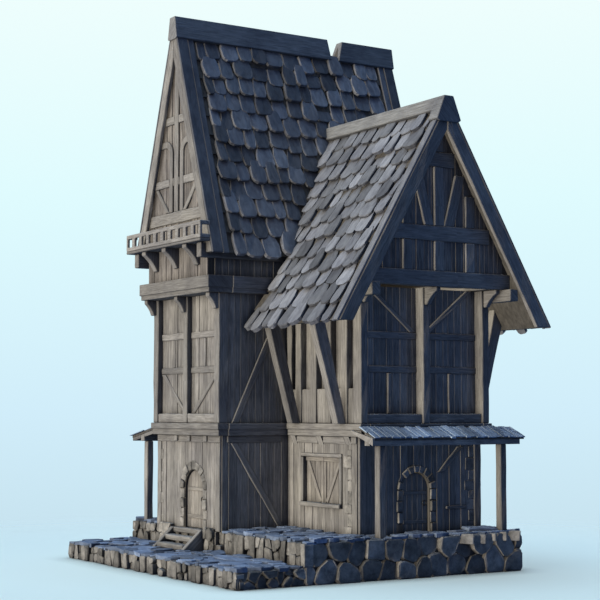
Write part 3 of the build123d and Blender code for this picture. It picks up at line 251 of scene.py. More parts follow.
@dataclass(frozen=True)
class Noise:
    """Settings of a noise texture."""

    scale: float
    detail: float
    roughness: float
    distortion: float = 0.0

    def over(self, graph: ShaderGraph, vector: bpy.types.NodeSocket) -> bpy.types.NodeSocket:
        """The noise at a place, added to a graph.

        Args:
            graph: The graph.
            vector: Where the noise is read.

        Returns:
            The noise, from 0 to 1.
        """
        node = graph.add("TexNoise", {"Vector": vector, "Scale": self.scale, "Detail": self.detail})
        node.inputs["Roughness"].default_value = self.roughness
        node.inputs["Distortion"].default_value = self.distortion
        return node.outputs["Fac"]


@dataclass(frozen=True)
class Finish:
    """What every finish has: two colours and the noise values where they are pure, a gloss and a relief."""

    name: str
    pale: Colour
    dark: Colour
    stops: Span = (0.34, 0.62)
    roughness: float = 0.85
    specular: float = 0.2
    relief: float = 0.5
    relief_depth: float = 0.03
    tone: float = 0.22
    # Strength and reach of the painted shade in corners and joints.
    cavity_shade: float = 0.85
    cavity_shade_reach: float = 0.26

    def material(self) -> bpy.types.Material:
        """The finish's material, made once."""
        found = bpy.data.materials.get(self.name)
        return found if found else self.make()

    def make(self) -> bpy.types.Material:
        """Build the material."""
        raise NotImplementedError

    def mixed(self, graph: ShaderGraph, factor: bpy.types.NodeSocket) -> bpy.types.NodeSocket:
        """The dark and the pale colour, mixed by a factor."""
        return graph.ramp(factor, ((self.stops[0], self.dark), (self.stops[1], self.pale)))

    def toned_and_shaded(self, graph: ShaderGraph, colour: bpy.types.NodeSocket) -> bpy.types.NodeSocket:
        """A colour with the tone of each shape and painted shade in its corners and joints."""
        return graph.cavity_shaded(graph.toned(colour, self.tone), self.cavity_shade, self.cavity_shade_reach)

    def surfaced(
        self, graph: ShaderGraph, colour: bpy.types.NodeSocket, height: bpy.types.NodeSocket
    ) -> bpy.types.Material:
        """Give the shader its colour, gloss and bump, and hand back the material.

        Args:
            graph: The graph.
            colour: Colour of the surface.
            height: Height of its relief.

        Returns:
            The graph's material.
        """
        graph.shade(Base_Color=colour, Roughness=self.roughness, Specular_IOR_Level=self.specular)
        graph.bump(height, self.relief, self.relief_depth)
        return graph.material


@dataclass(frozen=True)
class WoodFinish(Finish):
    """Weathered wood whose grain follows the Grain map of each shape."""

    specular: float = 0.25
    grain_along: float = 1.6
    grain_across: float = 26.0
    streaks: Noise = Noise(1.0, 6.0, 0.62, 0.7)
    weather: Noise = Noise(0.9, 4.0, 0.6)
    stain: float = 0.8
    stain_stops: tuple[tuple[float, Colour], ...] = ((0.35, (0.62, 0.62, 0.66)), (0.62, WHITE))

    def make(self) -> bpy.types.Material:
        """Build the material: streaks along the grain, broad weathering, a tone per board and painted shade in
        corners.

        Returns:
            The material.
        """
        graph = ShaderGraph(self.name)
        grain = graph.add("UVMap", uv_map="Grain")
        scale = (self.grain_along, self.grain_across, 1.0)
        stretch = graph.add("Mapping", {"Vector": grain.outputs["UV"], "Scale": scale})
        streaks = self.streaks.over(graph, stretch.outputs["Vector"])
        stain = graph.ramp(self.weather.over(graph, graph.object_place()), self.stain_stops)
        colour = graph.multiply(self.stain, self.mixed(graph, streaks), stain)
        return self.surfaced(graph, self.toned_and_shaded(graph, colour), streaks)


@dataclass(frozen=True)
class CoreFinish(Finish):
    """Plain boarding for faces behind other pieces, with grain up the Z axis of the object."""

    stops: Span = (0.32, 0.66)
    relief_depth: float = 0.02
    scale: Size = (9.0, 9.0, 0.8)
    streaks: Noise = Noise(1.0, 5.0, 0.6)

    def make(self) -> bpy.types.Material:
        """Build the material from stretched noise on Object coordinates.

        Returns:
            The material.
        """
        graph = ShaderGraph(self.name)
        stretch = graph.add("Mapping", {"Vector": graph.object_place(), "Scale": self.scale})
        streaks = self.streaks.over(graph, stretch.outputs["Vector"])
        return self.surfaced(graph, self.mixed(graph, streaks), streaks)


@dataclass(frozen=True)
class StoneFinish(Finish):
    """Rough stone with mottling and pits."""

    stops: Span = (0.34, 0.64)
    relief_depth: float = 0.05
    mottle: Noise = Noise(3.4, 7.0, 0.68)
    pit_scale: float = 10.2
    pitted: float = 0.6
    pit_stops: tuple[tuple[float, Colour], ...] = ((0.0, (0.72, 0.72, 0.74)), (0.35, WHITE))

    def make(self) -> bpy.types.Material:
        """Build the material: mottled colour, pits, a tone per stone and painted shade in corners.

        Returns:
            The material.
        """
        graph = ShaderGraph(self.name)
        place = graph.object_place()
        mottle = self.mottle.over(graph, place)
        pits = graph.add("TexVoronoi", {"Vector": place, "Scale": self.pit_scale})
        shade = graph.ramp(pits.outputs["Distance"], self.pit_stops)
        colour = graph.multiply(self.pitted, self.mixed(graph, mottle), shade)
        return self.surfaced(graph, self.toned_and_shaded(graph, colour), mottle)


@dataclass(frozen=True)
class IronFinish(Finish):
    """Dark forged iron."""

    stops: Span = (0.35, 0.65)
    roughness: float = 0.55
    metallic: float = 0.7
    mottle: Noise = Noise(30.0, 4.0, 0.5)

    def make(self) -> bpy.types.Material:
        """Build the material: dark metal with a mottled surface.

        Returns:
            The material.
        """
        graph = ShaderGraph(self.name)
        colour = self.mixed(graph, self.mottle.over(graph, graph.object_place()))
        graph.shade(Base_Color=colour, Metallic=self.metallic, Roughness=self.roughness)
        return graph.material


TIMBER = WoodFinish("hewn_timber", (0.282, 0.27, 0.252), (0.15, 0.142, 0.13))
BOARD = WoodFinish("wall_boarding", (0.31, 0.294, 0.27), (0.142, 0.134, 0.122))
# Painted shade: a darker copy of the wall boarding, used for the recessed gable boards.
SHADED_GABLE_BOARD = WoodFinish("gable_boarding_shaded", (0.25, 0.229, 0.208), (0.10, 0.091, 0.083), tone=0.26)
PLANK = WoodFinish("door_planks", (0.32, 0.296, 0.262), (0.14, 0.128, 0.111), tone=0.2)
FLOOR = CoreFinish("floor_boards", (0.28, 0.25, 0.21), (0.15, 0.13, 0.11), scale=(0.8, 9.0, 9.0))
CORE = CoreFinish("wall_core", (0.10, 0.092, 0.082), (0.05, 0.046, 0.041))
SHINGLE = WoodFinish(
    "split_shingles", (0.19, 0.196, 0.212), (0.118, 0.122, 0.136), relief=0.3, tone=0.48, grain_along=2.4,
    grain_across=6.0,
)
# Painted skylight: weathered shakes with a blue cast that stands for cool light from the sky on their upward faces.
SKY_TINTED_SHAKE = WoodFinish("porch_shakes_sky_tinted", (0.42, 0.53, 0.66), (0.20, 0.25, 0.315), tone=0.4)
STONE = StoneFinish("rubble_stone", (0.25, 0.236, 0.215), (0.092, 0.089, 0.083), tone=0.5)
# Painted skylight: grey flagstone with a blue cast that stands for cool light from the sky on its top.
SKY_TINTED_FLAG = StoneFinish("flag_stone_sky_tinted", (0.18, 0.23, 0.325), (0.088, 0.11, 0.158), tone=0.42)
CAP = WoodFinish("cap_boards", (0.235, 0.236, 0.235), (0.125, 0.126, 0.126), tone=0.2)
PACKED = CoreFinish("packed_core", (0.06, 0.06, 0.062), (0.03, 0.03, 0.032))
IRON = IronFinish("forged_iron", (0.06, 0.058, 0.056), (0.025, 0.024, 0.024))


@dataclass
class Stamp:
    """One small closed shape, made once and laid many times as arrays."""

    points: np.ndarray
    faces: list[list[int]]
    grain: list[np.ndarray]

    @classmethod
    def of(cls, shape: bmesh.types.BMesh, grain: Vector) -> "Stamp":
        """Read a finished shape.

        Args:
            shape: The shape; it is freed.
            grain: Direction of its grain.

        Returns:
            The shape as arrays, with a grain map for each face corner.
        """
        bmesh.ops.recalc_face_normals(shape, faces=shape.faces[:])
        shape.verts.index_update()
        shape.normal_update()
        points = np.array([vert.co[:] for vert in shape.verts])
        faces, maps = [], []
        for face in shape.faces:
            corners = [vert.index for vert in face.verts]
            across = face.normal.cross(grain)
            if across.length < END_GRAIN:
                across = face.normal.orthogonal()
            across.normalize()
            run = across.cross(face.normal)
            faces.append(corners)
            maps.append(points[corners] @ np.array([run[:], across[:]]).T)
        shape.free()
        return cls(points, faces, maps)


@dataclass
class Pile:
    """Closed shapes gathered into one mesh, with a tone for each shape and a grain map."""

    name: str
    finish: Finish
    slot: str
    body: str = "house"
    points: list[np.ndarray] = field(default_factory=list)
    faces: list[list[int]] = field(default_factory=list)
    grain: list[np.ndarray] = field(default_factory=list)
    tones: list[float] = field(default_factory=list)
    count: int = 0

    def lay(self, stamp: Stamp, tone: float, place: Matrix | None = None, shift: float = 0.0) -> None:
        """Add one copy of a shape.

        Args:
            stamp: The shape.
            tone: Its tone, from -1 for dark to 1 for pale.
            place: Where it goes; none leaves it where it was made.
            shift: Offset of its grain map, so that copies differ.
        """
        points = stamp.points
        if place is not None:
            points = points @ np.array(place.to_3x3()).T + np.array(place.translation)
        start = self.count
        self.points.append(points)
        self.faces.extend([corner + start for corner in face] for face in stamp.faces)
        self.grain.extend(corners + shift for corners in stamp.grain)
        self.tones.extend([tone] * len(stamp.faces))
        self.count += len(points)

    def add(self, shape: bmesh.types.BMesh, grain: Vector, tone: float, shift: float = 0.0) -> None:
        """Add one shape that is used once; it is freed."""
        self.lay(Stamp.of(shape, grain), tone, shift=shift)

    def build(self, *nodes: str) -> None:
        """Make the mesh object, riding on its body.

        Args:
            nodes: CAD nodes that it stands for.
        """
        mesh = bpy.data.meshes.new(self.name)
        mesh.from_pydata(np.concatenate(self.points).tolist(), [], self.faces)
        layer = mesh.uv_layers.new(name="Grain")
        layer.data.foreach_set("uv", np.concatenate(self.grain).astype(np.float32).ravel())
        tone = mesh.attributes.new("tone", "FLOAT", "FACE")
        tone.data.foreach_set("value", np.array(self.tones, np.float32))
        mesh.materials.append(self.finish.material())
        piece = bpy.data.objects.new(self.name, mesh)
        bpy.context.scene.collection.objects.link(piece)
        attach(piece, self.body)
        if nodes:
            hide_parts(*nodes)
        log.info("%s: %d faces", self.name, len(self.faces))


def grain_shift(rng: random.Random) -> float:
    """A random start for a piece's grain, so that like pieces differ."""
    return rng.uniform(0.0, GRAIN_SHIFT)


def jitter(
    shape: bmesh.types.BMesh, rng: random.Random, amount: float, verts: Iterable[bmesh.types.BMVert] | None = None
) -> None:
    """Move each vertex of a shape, or each of those given, a little at random."""
    for vert in shape.verts if verts is None else verts:
        vert.co += Vector([rng.uniform(-amount, amount) for _ in range(3)])


def put(shape: bmesh.types.BMesh, place: Matrix) -> None:
    """Move a shape to its place."""
    bmesh.ops.transform(shape, matrix=place, verts=shape.verts[:])


def bevel(shape: bmesh.types.BMesh, edges: Sequence[bmesh.types.BMEdge], offset: float, segments: int = 1) -> None:
    """Bevel some edges of a shape.

    Args:
        shape: The shape.
        edges: Its edges to bevel.
        offset: Reach of the bevel, in metres.
        segments: Facets across the bevel.
    """
    bmesh.ops.bevel(
        shape, geom=edges, offset=offset, offset_type="OFFSET", segments=segments, profile=0.5,
        affect="EDGES", clamp_overlap=True, material=-1,
    )


def round_edges(shape: bmesh.types.BMesh, offset: float, segments: int = 1) -> None:
    """Bevel the sharp edges of a shape."""
    edges = [edge for edge in shape.edges if edge.is_manifold and edge.calc_face_angle(0.0) > SHARP]
    bevel(shape, edges, offset, segments)


def thicken(shape: bmesh.types.BMesh, out: Sequence[float]) -> None:
    """Pull a flat outline out into a closed solid.

    Args:
        shape: A shape of one flat face.
        out: How far and which way it is pulled.
    """
    grown = bmesh.ops.extrude_face_region(shape, geom=shape.faces[:])
    moved = [item for item in grown["geom"] if isinstance(item, bmesh.types.BMVert)]
    bmesh.ops.translate(shape, vec=out, verts=moved)
    bmesh.ops.recalc_face_normals(shape, faces=shape.faces[:])


def box_shape(low: Sequence[float], high: Sequence[float]) -> bmesh.types.BMesh:
    """A plain block between two corners.

    Args:
        low: Its lowest corner.
        high: Its highest corner.

    Returns:
        The block.
    """
    shape = bmesh.new()
    size = Vector(high) - Vector(low)
    middle = (Vector(high) + Vector(low)) / 2
    bmesh.ops.create_cube(shape, size=1.0, matrix=Matrix.Translation(middle) @ Matrix.Diagonal((*size, 1.0)))
    return shape


def bar_shape(start: Vector, end: Vector, width: float, depth: float, out: Vector) -> bmesh.types.BMesh:
    """A straight bar from one point to another.

    Args:
        start: Middle of one end.
        end: Middle of the other end.
        width: Size across the bar in its plane.
        depth: Size along the outward direction.
        out: Outward direction, square to the bar.

    Returns:
        The bar.
    """
    run = (end - start).normalized()
    across = out.cross(run)
    turn = Matrix((run, across, out)).transposed().to_4x4()
    size = Matrix.Diagonal(((end - start).length, width, depth, 1.0))
    shape = bmesh.new()
    bmesh.ops.create_cube(shape, size=1.0, matrix=Matrix.Translation((start + end) / 2) @ turn @ size)
    return shape


def solids_of(node: str) -> list[bmesh.types.BMesh]:
    """The separate solids of a CAD node, merged and with flat faces joined.

    Args:
        node: Name of the CAD node.

    Returns:
        One shape for each solid.
    """
    whole = bmesh.new()
    whole.from_mesh(frame["nodes"][node].data)
    bmesh.ops.remove_doubles(whole, verts=whole.verts[:], dist=MERGE)
    bmesh.ops.dissolve_limit(
        whole, angle_limit=FLAT, verts=whole.verts[:], edges=whole.edges[:], use_dissolve_boundaries=False
    )
    whole.verts.index_update()
    group = {}
    for seed in whole.verts:
        if seed.index in group:
            continue
        stack = [seed]
        while stack:
            vert = stack.pop()
            if vert.index in group:
                continue
            group[vert.index] = seed.index
            stack.extend(edge.other_vert(vert) for edge in vert.link_edges)
    solids = []
    for key in sorted(set(group.values())):
        part = whole.copy()
        part.verts.index_update()
        others = [vert for vert in part.verts if group[vert.index] != key]
        bmesh.ops.delete(part, geom=others, context="VERTS")
        solids.append(part)
    whole.free()
    return solids


def longest_edge(shape: bmesh.types.BMesh) -> Vector:
    """Direction of the longest edge of a shape."""
    edge = max(shape.edges, key=lambda item: item.calc_length())
    return (edge.verts[1].co - edge.verts[0].co).normalized()


def slot_of(node: str) -> str:
    """Material slot of a CAD node in the record."""
    return next(row["material_slot"] for row in frame["record"]["subparts"] if row["node"] == node)


@dataclass
class TimberWork:
    """Posts, beams and boards copied from their solids with worn edges and a hewn surface."""

    nodes: Sequence[str]
    finish: Finish = TIMBER
    wear: float = 0.028
    hew: float = 0.010
    bay: float = 0.7
    seed: int = 11

    def hewn(self, shape: bmesh.types.BMesh, rng: random.Random) -> None:
        """Cut a plain bar into bays, move their corners a little and wear its edges.

        Args:
            shape: The bar.
            rng: Source of chance.
        """
        run = longest_edge(shape)
        if len(shape.verts) == BAR_CORNERS:
            long_edges = [
                edge
                for edge in shape.edges
                if abs((edge.verts[1].co - edge.verts[0].co).normalized().dot(run)) > PARALLEL
            ]
            cuts = int(max(edge.calc_length() for edge in long_edges) / self.bay)
            if cuts:
                bmesh.ops.subdivide_edges(shape, edges=long_edges, cuts=cuts, use_grid_fill=True)
            for vert in shape.verts:
                push = Vector([rng.uniform(-self.hew, self.hew) for _ in range(3)])
                vert.co += push - push.dot(run) * run
        round_edges(shape, self.wear, segments=2)

    def build(self) -> None:
        """Replace each node by its worn copy."""
        rng = random.Random(self.seed)
        for node in self.nodes:
            pile = Pile(f"{node}_hewn", self.finish, slot_of(node))
            for solid in solids_of(node):
                run = longest_edge(solid)
                self.hewn(solid, rng)
                pile.add(solid, run, rng.uniform(*ANY_TONE), grain_shift(rng))
            pile.build(node)


@dataclass
class Opening:
    """A hole in a boarded wall: a rectangle, or a round-headed arch where it has a radius."""

    span: Span
    low: float
    high: float
    radius: float = 0.0

    def head(self, along: float) -> float:
        """Height of the top of the hole over a place along the wall.

        Args:
            along: Place along the wall.

        Returns:
            The height.
        """
        if not self.radius:
            return self.high
        reach = abs(along - sum(self.span) / 2)
        return self.high - self.radius + math.sqrt(max(self.radius**2 - reach**2, 0.0))


@dataclass
class BoardWall:
    """Upright boards over one face of a wall."""

    name: str
    side: Side
    face: float
    span: Span
    low: float
    high: float
    openings: Sequence[Opening] = ()
    top: Level | None = None
    width: Span = (0.17, 0.27)
    last_share: float = 0.6
    open_joint: Span = (0.006, 0.004)
    tight_joint: Span = (0.002, 0.0015)
    thick: Span = (0.029, 0.034)
    bed: float = 0.004
    raised: float = 0.014
    raised_share: float = 0.14
    lap: float = 0.03
    least_under: float = 0.1
    least_width: float = 0.02
    least_sides: Span = (0.02, 0.08)
    cuts: int = 3
    finish: WoodFinish = BOARD

    def joint(self) -> Span:
        """Gap between boards and wear of their edges: open on the weather sides, tight on the others."""
        return self.open_joint if self.side in (Side.WEST, Side.EAST) else self.tight_joint

    def board(self, span: Span, low: Level, high: Level, thick: float) -> bmesh.types.BMesh:
        """One board with its two ends shaped.

        Args:
            span: Its two edges along the wall.
            low: Height of its lower end over a place along the wall.
            high: Height of its upper end.
            thick: Its thickness.

        Returns:
            The board in wall coordinates.
        """
        shape = box_shape((span[0], -self.bed, 0.0), (span[1], thick, 1.0))
        across = [edge for edge in shape.edges if abs(edge.verts[0].co.x - edge.verts[1].co.x) > TINY]
        curved = self.top is not None or any(opening.radius for opening in self.openings)
        if curved:
            bmesh.ops.subdivide_edges(shape, edges=across, cuts=self.cuts, use_grid_fill=True)
        for vert in shape.verts:
            end = high if vert.co.z > 0.5 else low
            vert.co.z = end(vert.co.x)
        round_edges(shape, self.joint()[1])
        return shape

    def stretches(self, span: Span) -> list[tuple[Level, Level]]:
        """The clear heights of a board that stands on this span, from the bottom up.

        Args:
            span: The board's two edges along the wall.

        Returns:
            Lower and upper end of each stretch.
        """
        roof = self.top or (lambda along: self.high)
        found, foot = [], (lambda along: self.low)
        for opening in self.openings:
            if span[1] <= opening.span[0] + self.lap or span[0] >= opening.span[1] - self.lap:
                continue
            if opening.low - self.low > self.least_under:
                found.append((foot, lambda along, level=opening.low: level))
            foot = opening.head
        found.append((foot, roof))
        return found

    def build(self) -> None:
        """Lay the boards along the wall."""
        rng = random.Random(self.name)
        pile = Pile(self.name, self.finish, "wall_board")
        place = self.side.place(self.face)
        gap = self.joint()[0]
        edge = self.span[0]
        while edge < self.span[1] - self.least_width:
            end = edge + rng.uniform(*self.width)
            if self.span[1] - end < self.width[0] * self.last_share:
                end = self.span[1]
            tone, thick, shift = rng.uniform(*ANY_TONE), rng.uniform(*self.thick), grain_shift(rng)
            if rng.random() < self.raised_share:
                thick += self.raised
            strip = (edge + gap / 2, end - gap / 2)
            for low, high in self.stretches(strip):
                short, tall = sorted(high(along) - low(along) for along in strip)
                if short < self.least_sides[0] or tall < self.least_sides[1]:
                    continue
                shape = self.board(strip, low, high, thick)
                put(shape, place)
                pile.add(shape, UP, tone, shift)
            edge = end
        if pile.count:
            pile.build()


def clipped(polygon: Sequence[Point], near: Point, far: Point) -> list[Point]:
    """The part of a polygon that lies nearer to one point than to another.

    Args:
        polygon: Corners in order.
        near: Point whose side is kept.
        far: Point whose side is cut off.

    Returns:
        Corners of what is left.
    """
    across = (far[0] - near[0], far[1] - near[1])
    middle = ((far[0] + near[0]) / 2, (far[1] + near[1]) / 2)

    def past(corner: Point) -> float:
        """How far a corner lies on the wrong side."""
        return (corner[0] - middle[0]) * across[0] + (corner[1] - middle[1]) * across[1]

    kept = []
    for start, end in zip(polygon, [*polygon[1:], polygon[0]]):
        a, b = past(start), past(end)
        if a <= 0:
            kept.append(start)
        if a * b < 0:
            share = a / (a - b)
            kept.append((start[0] + (end[0] - start[0]) * share, start[1] + (end[1] - start[1]) * share))
    return kept


@dataclass
class Rubble:
    """Rough stones fitted over one upright face, each the ground nearest to its own middle."""

    side: Side
    face: float
    span: Span
    level: Span
    pitch: Point = (0.62, 0.44)
    stagger: float = 0.25
    drift: Point = (0.33, 0.30)
    neighbours: int = 4
    parted_share: float = 0.0
    parted_level: Span = (0.36, 0.66)
    parted_lean: float = 0.05
    parted_reach: float = 0.2
    joint: float = 0.009
    least_share: float = 0.3
    least_edge: float = 0.03
    least_faces: int = 4
    depth: float = 0.22
    proud: Span = (-0.10, 0.06)
    corner: float = 0.10
    corner_range: Span = (0.5, 1.2)
    corner_depth: float = 0.3
    wear: float = 0.034
    wear_range: Span = (0.6, 1.15)
    wear_depth: float = 0.6
    rough: float = 0.012

    def cells(self, rng: random.Random) -> list[list[Point]]:
        """Outlines of the stones, in (along, up).

        Args:
            rng: Source of chance.

        Returns:
            Corners of each outline, in order.
        """
        columns = max(1, round((self.span[1] - self.span[0]) / self.pitch[0]))
        rows = max(1, round((self.level[1] - self.level[0]) / self.pitch[1]))
        wide = (self.span[1] - self.span[0]) / columns
        tall = (self.level[1] - self.level[0]) / rows
        seeds = {}
        for column in range(columns):
            for row in range(rows):
                shift = self.stagger if row % 2 else -self.stagger
                seeds[column, row] = (
                    self.span[0] + wide * (column + 0.5 + shift + rng.uniform(-self.drift[0], self.drift[0])),
                    self.level[0] + tall * (row + 0.5 + rng.uniform(-self.drift[1], self.drift[1])),
                )
        outlines = []
        for spot, seed in seeds.items():
            polygon = [
                (self.span[0], self.level[0]), (self.span[1], self.level[0]),
                (self.span[1], self.level[1]), (self.span[0], self.level[1]),
            ]
            for other_spot, other in seeds.items():
                near = max(abs(spot[axis] - other_spot[axis]) for axis in (0, 1)) < self.neighbours
                if near and other is not seed:
                    polygon = clipped(polygon, seed, other)
            if len(polygon) > 2:
                outlines += self.parted(polygon, rng)
        return outlines

    def parted(self, outline: list[Point], rng: random.Random) -> list[list[Point]]:
        """The outline whole, or cut in two by a nearly level joint.

        Args:
            outline: Corners in order.
            rng: Source of chance.

        Returns:
            One or two outlines.
        """
        if rng.random() >= self.parted_share:
            return [outline]
        along = sum(point[0] for point in outline) / len(outline)
        height = self.level[0] + (self.level[1] - self.level[0]) * rng.uniform(*self.parted_level)
        lean = rng.uniform(-self.parted_lean, self.parted_lean)
        under, over = (along - lean, height - self.parted_reach), (along + lean, height + self.parted_reach)
        halves = (clipped(outline, under, over), clipped(outline, over, under))
        return [half for half in halves if len(half) > 2]

    def stone(self, outline: Sequence[Point], rng: random.Random) -> bmesh.types.BMesh:
        """One stone in wall coordinates: its outline drawn in by the joint, with a worn front.

        Args:
            outline: Corners in order.
            rng: Source of chance.

        Returns:
            The stone.
        """
        middle = [sum(point[place] for point in outline) / len(outline) for place in (0, 1)]
        shape = bmesh.new()
        corners = []
        for point in outline:
            reach = math.dist(point, middle)
            share = max(self.least_share, 1.0 - self.joint / max(reach, TINY))
            along, up = [middle[place] + (point[place] - middle[place]) * share for place in (0, 1)]
            corners.append(shape.verts.new((along, -self.depth, up)))
        shape.faces.new(corners)
        bmesh.ops.remove_doubles(shape, verts=shape.verts[:], dist=self.least_edge)
        thicken(shape, (0.0, self.depth + rng.uniform(*self.proud), 0.0))
        deep = self.depth * self.corner_depth
        edges = [edge for edge in shape.edges if abs(edge.verts[0].co.y - edge.verts[1].co.y) > deep]
        bevel(shape, edges, self.corner * rng.uniform(*self.corner_range))
        back = -self.depth * self.wear_depth
        edges = [edge for edge in shape.edges if min(vert.co.y for vert in edge.verts) > back]
        bevel(shape, edges, self.wear * rng.uniform(*self.wear_range), segments=2)
        jitter(shape, rng, self.rough, [vert for vert in shape.verts if vert.co.y > back])
        return shape

    def lay(self, pile: Pile, rng: random.Random) -> None:
        """Add the stones of this face to a pile.

        Args:
            pile: Where the shapes go.
            rng: Source of chance.
        """
        place = self.side.place(self.face)
        for outline in self.cells(rng):
            shape = self.stone(outline, rng)
            if len(shape.faces) < self.least_faces:
                shape.free()
                continue
            put(shape, place)
            for vert in shape.verts:
                vert.co.z = max(vert.co.z, 0.0)
            pile.add(shape, UP, rng.uniform(*ANY_TONE))


@dataclass
class StoneBase:
    """The stepped base: two packed cores faced with rubble, and the cheeks of the steps."""

    seed: int = 21
    inset: float = 0.12
    core_tone: float = -0.6
    small: Point = (0.36, 0.30)
    upright: Point = (0.27, 0.50)
    upright_wear: float = 0.024
    upright_corner: float = 0.05
    upright_drift: Point = (0.34, 0.11)
    upright_parted: float = 0.42
    cheek_inset: float = 0.03
    cheek_depth: float = 0.07
    cheek_tone: float = -0.8

    def core(self, node: str) -> None:
        """A plain core behind the facing of one tier.

        Args:
            node: CAD node of the tier.
        """
        low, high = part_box(node)
        margin = Vector((self.inset, self.inset, 0.0))
        pile = Pile(f"{node}_core", PACKED, slot_of(node))
        pile.add(box_shape(low + margin, high - margin), UP, self.core_tone)
        pile.build()

    def west(self, face: float, span: Span, level: Span) -> Rubble:
        """The rubble of a west face: upright blocks, some of them in two.

        Args:
            face: Place of the face on X.
            span: Its two ends on Y.
            level: Its foot and its head.

        Returns:
            The rubble.
        """
        return Rubble(
            Side.WEST, face, span, level, self.upright, drift=self.upright_drift, wear=self.upright_wear,
            corner=self.upright_corner, parted_share=self.upright_parted,
        )

    def tiers(self, rng: random.Random) -> None:
        """Face both tiers; the front and the east face run over the full height.

        Args:
            rng: Source of chance.
        """
        low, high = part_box("lower_terrace")
        upper_low, upper_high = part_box("upper_plinth")
        level, upper_level, full = (low.z, high.z), (upper_low.z, upper_high.z), (low.z, upper_high.z)
        terrace = (
            self.west(low.x, (low.y, high.y), level),
            Rubble(Side.NORTH, high.y, (low.x, high.x), level),
            Rubble(Side.SOUTH, low.y, (low.x, upper_low.x), level, self.small),
        )
        plinth = (
            self.west(upper_low.x, (upper_low.y, upper_high.y), upper_level),
            Rubble(Side.NORTH, upper_high.y, (upper_low.x, upper_high.x), upper_level),
            Rubble(Side.SOUTH, low.y, (upper_low.x, high.x), full),
            Rubble(Side.EAST, high.x, (low.y, upper_high.y), full),
            Rubble(Side.EAST, high.x, (upper_high.y, high.y), level),
        )
        for node, faces in (("lower_terrace", terrace), ("upper_plinth", plinth)):
            pile = Pile(f"{node}_rubble", STONE, slot_of(node))
            for rubble in faces:
                rubble.lay(pile, rng)
            pile.build(node)

    def cheeks(self, rng: random.Random) -> None:
        """Face the cheeks beside the steps.

        Args:
            rng: Source of chance.
        """
        pile = Pile("cheek_stones", STONE, slot_of("step_cheeks"))
        inset = self.cheek_inset
        for solid in solids_of("step_cheeks"):
            corners = [vert.co.copy() for vert in solid.verts]
            solid.free()
            near = Vector([min(corner[axis] for corner in corners) for axis in range(3)])
            far = Vector([max(corner[axis] for corner in corners) for axis in range(3)])
            core = box_shape(near + Vector((inset, inset, 0.0)), far - Vector((0.0, inset, inset)))
            pile.add(core, UP, self.cheek_tone)
            span, level = (near.y, far.y), (near.z, far.z)
            Rubble(Side.WEST, near.x, span, level, self.small, depth=self.cheek_depth).lay(pile, rng)
        pile.build("step_cheeks")

    def build(self) -> None:
        """Make the cores, then face them and the cheeks."""
        rng = random.Random(self.seed)
        self.core("lower_terrace")
        self.core("upper_plinth")
        self.tiers(rng)
        self.cheeks(rng)


@dataclass
class KerbStones:
    """Loose blocks turned out of the top course at the front corner, and a slab lying behind them."""

    name: str = "kerb_stones"
    count: int = 5
    pitch: float = 0.42
    first: float = 0.55
    size: Size = (0.40, 0.36, 0.26)
    size_range: Span = (0.85, 1.1)
    lift: Span = (0.0, 0.05)
    turn: float = -42.0
    turn_range: Span = (-10.0, 10.0)
    tone: Span = (0.3, 1.0)
    inset: float = 0.13
    rough: float = 0.022
    wear: float = 0.03
    slab: Size = (0.95, 0.50, 0.11)
    slab_place: Point = (2.6, 4.2)
    slab_lift: float = 0.16
    slab_lean: float = 5.0
    slab_turn: float = -12.0
    slab_tone: float = 0.4
    seed: int = 27

    def block(self, size: Sequence[float], rng: random.Random) -> bmesh.types.BMesh:
        """One rough block with its top at the origin.

        Args:
            size: Its length, width and height.
            rng: Source of chance.

        Returns:
            The block.
        """
        shape = box_shape((-size[0] / 2, -size[1] / 2, -size[2]), (size[0] / 2, size[1] / 2, 0.0))
        jitter(shape, rng, self.rough)
        round_edges(shape, self.wear, segments=2)
        return shape

    def build(self) -> None:
        """Set the blocks along the corner and lay the slab."""
        rng = random.Random(self.seed)
        low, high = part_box("upper_plinth")
        front = low.y + self.inset
        pile = Pile(self.name, STONE, "base_stone")
        for number in range(self.count):
            shape = self.block([edge * rng.uniform(*self.size_range) for edge in self.size], rng)
            spot = (high.x - self.pitch * (number + self.first), front, high.z + rng.uniform(*self.lift))
            turn = Matrix.Rotation(math.radians(self.turn + rng.uniform(*self.turn_range)), 4, "Z")
            put(shape, Matrix.Translation(spot) @ turn)
            pile.add(shape, UP, rng.uniform(*self.tone))
        pile.build()
        pile = Pile(f"{self.name}_slab", SKY_TINTED_FLAG, "base_stone")
        shape = self.block(self.slab, rng)
        along, deep = self.slab_place
        spot = (high.x - self.pitch * along, low.y + self.inset * deep, high.z + self.slab_lift)
        lean = Matrix.Rotation(math.radians(self.slab_lean), 4, "X")
        put(shape, Matrix.Translation(spot) @ lean @ Matrix.Rotation(math.radians(self.slab_turn), 4, "Z"))
        pile.add(shape, UP, self.slab_tone)
        pile.build()


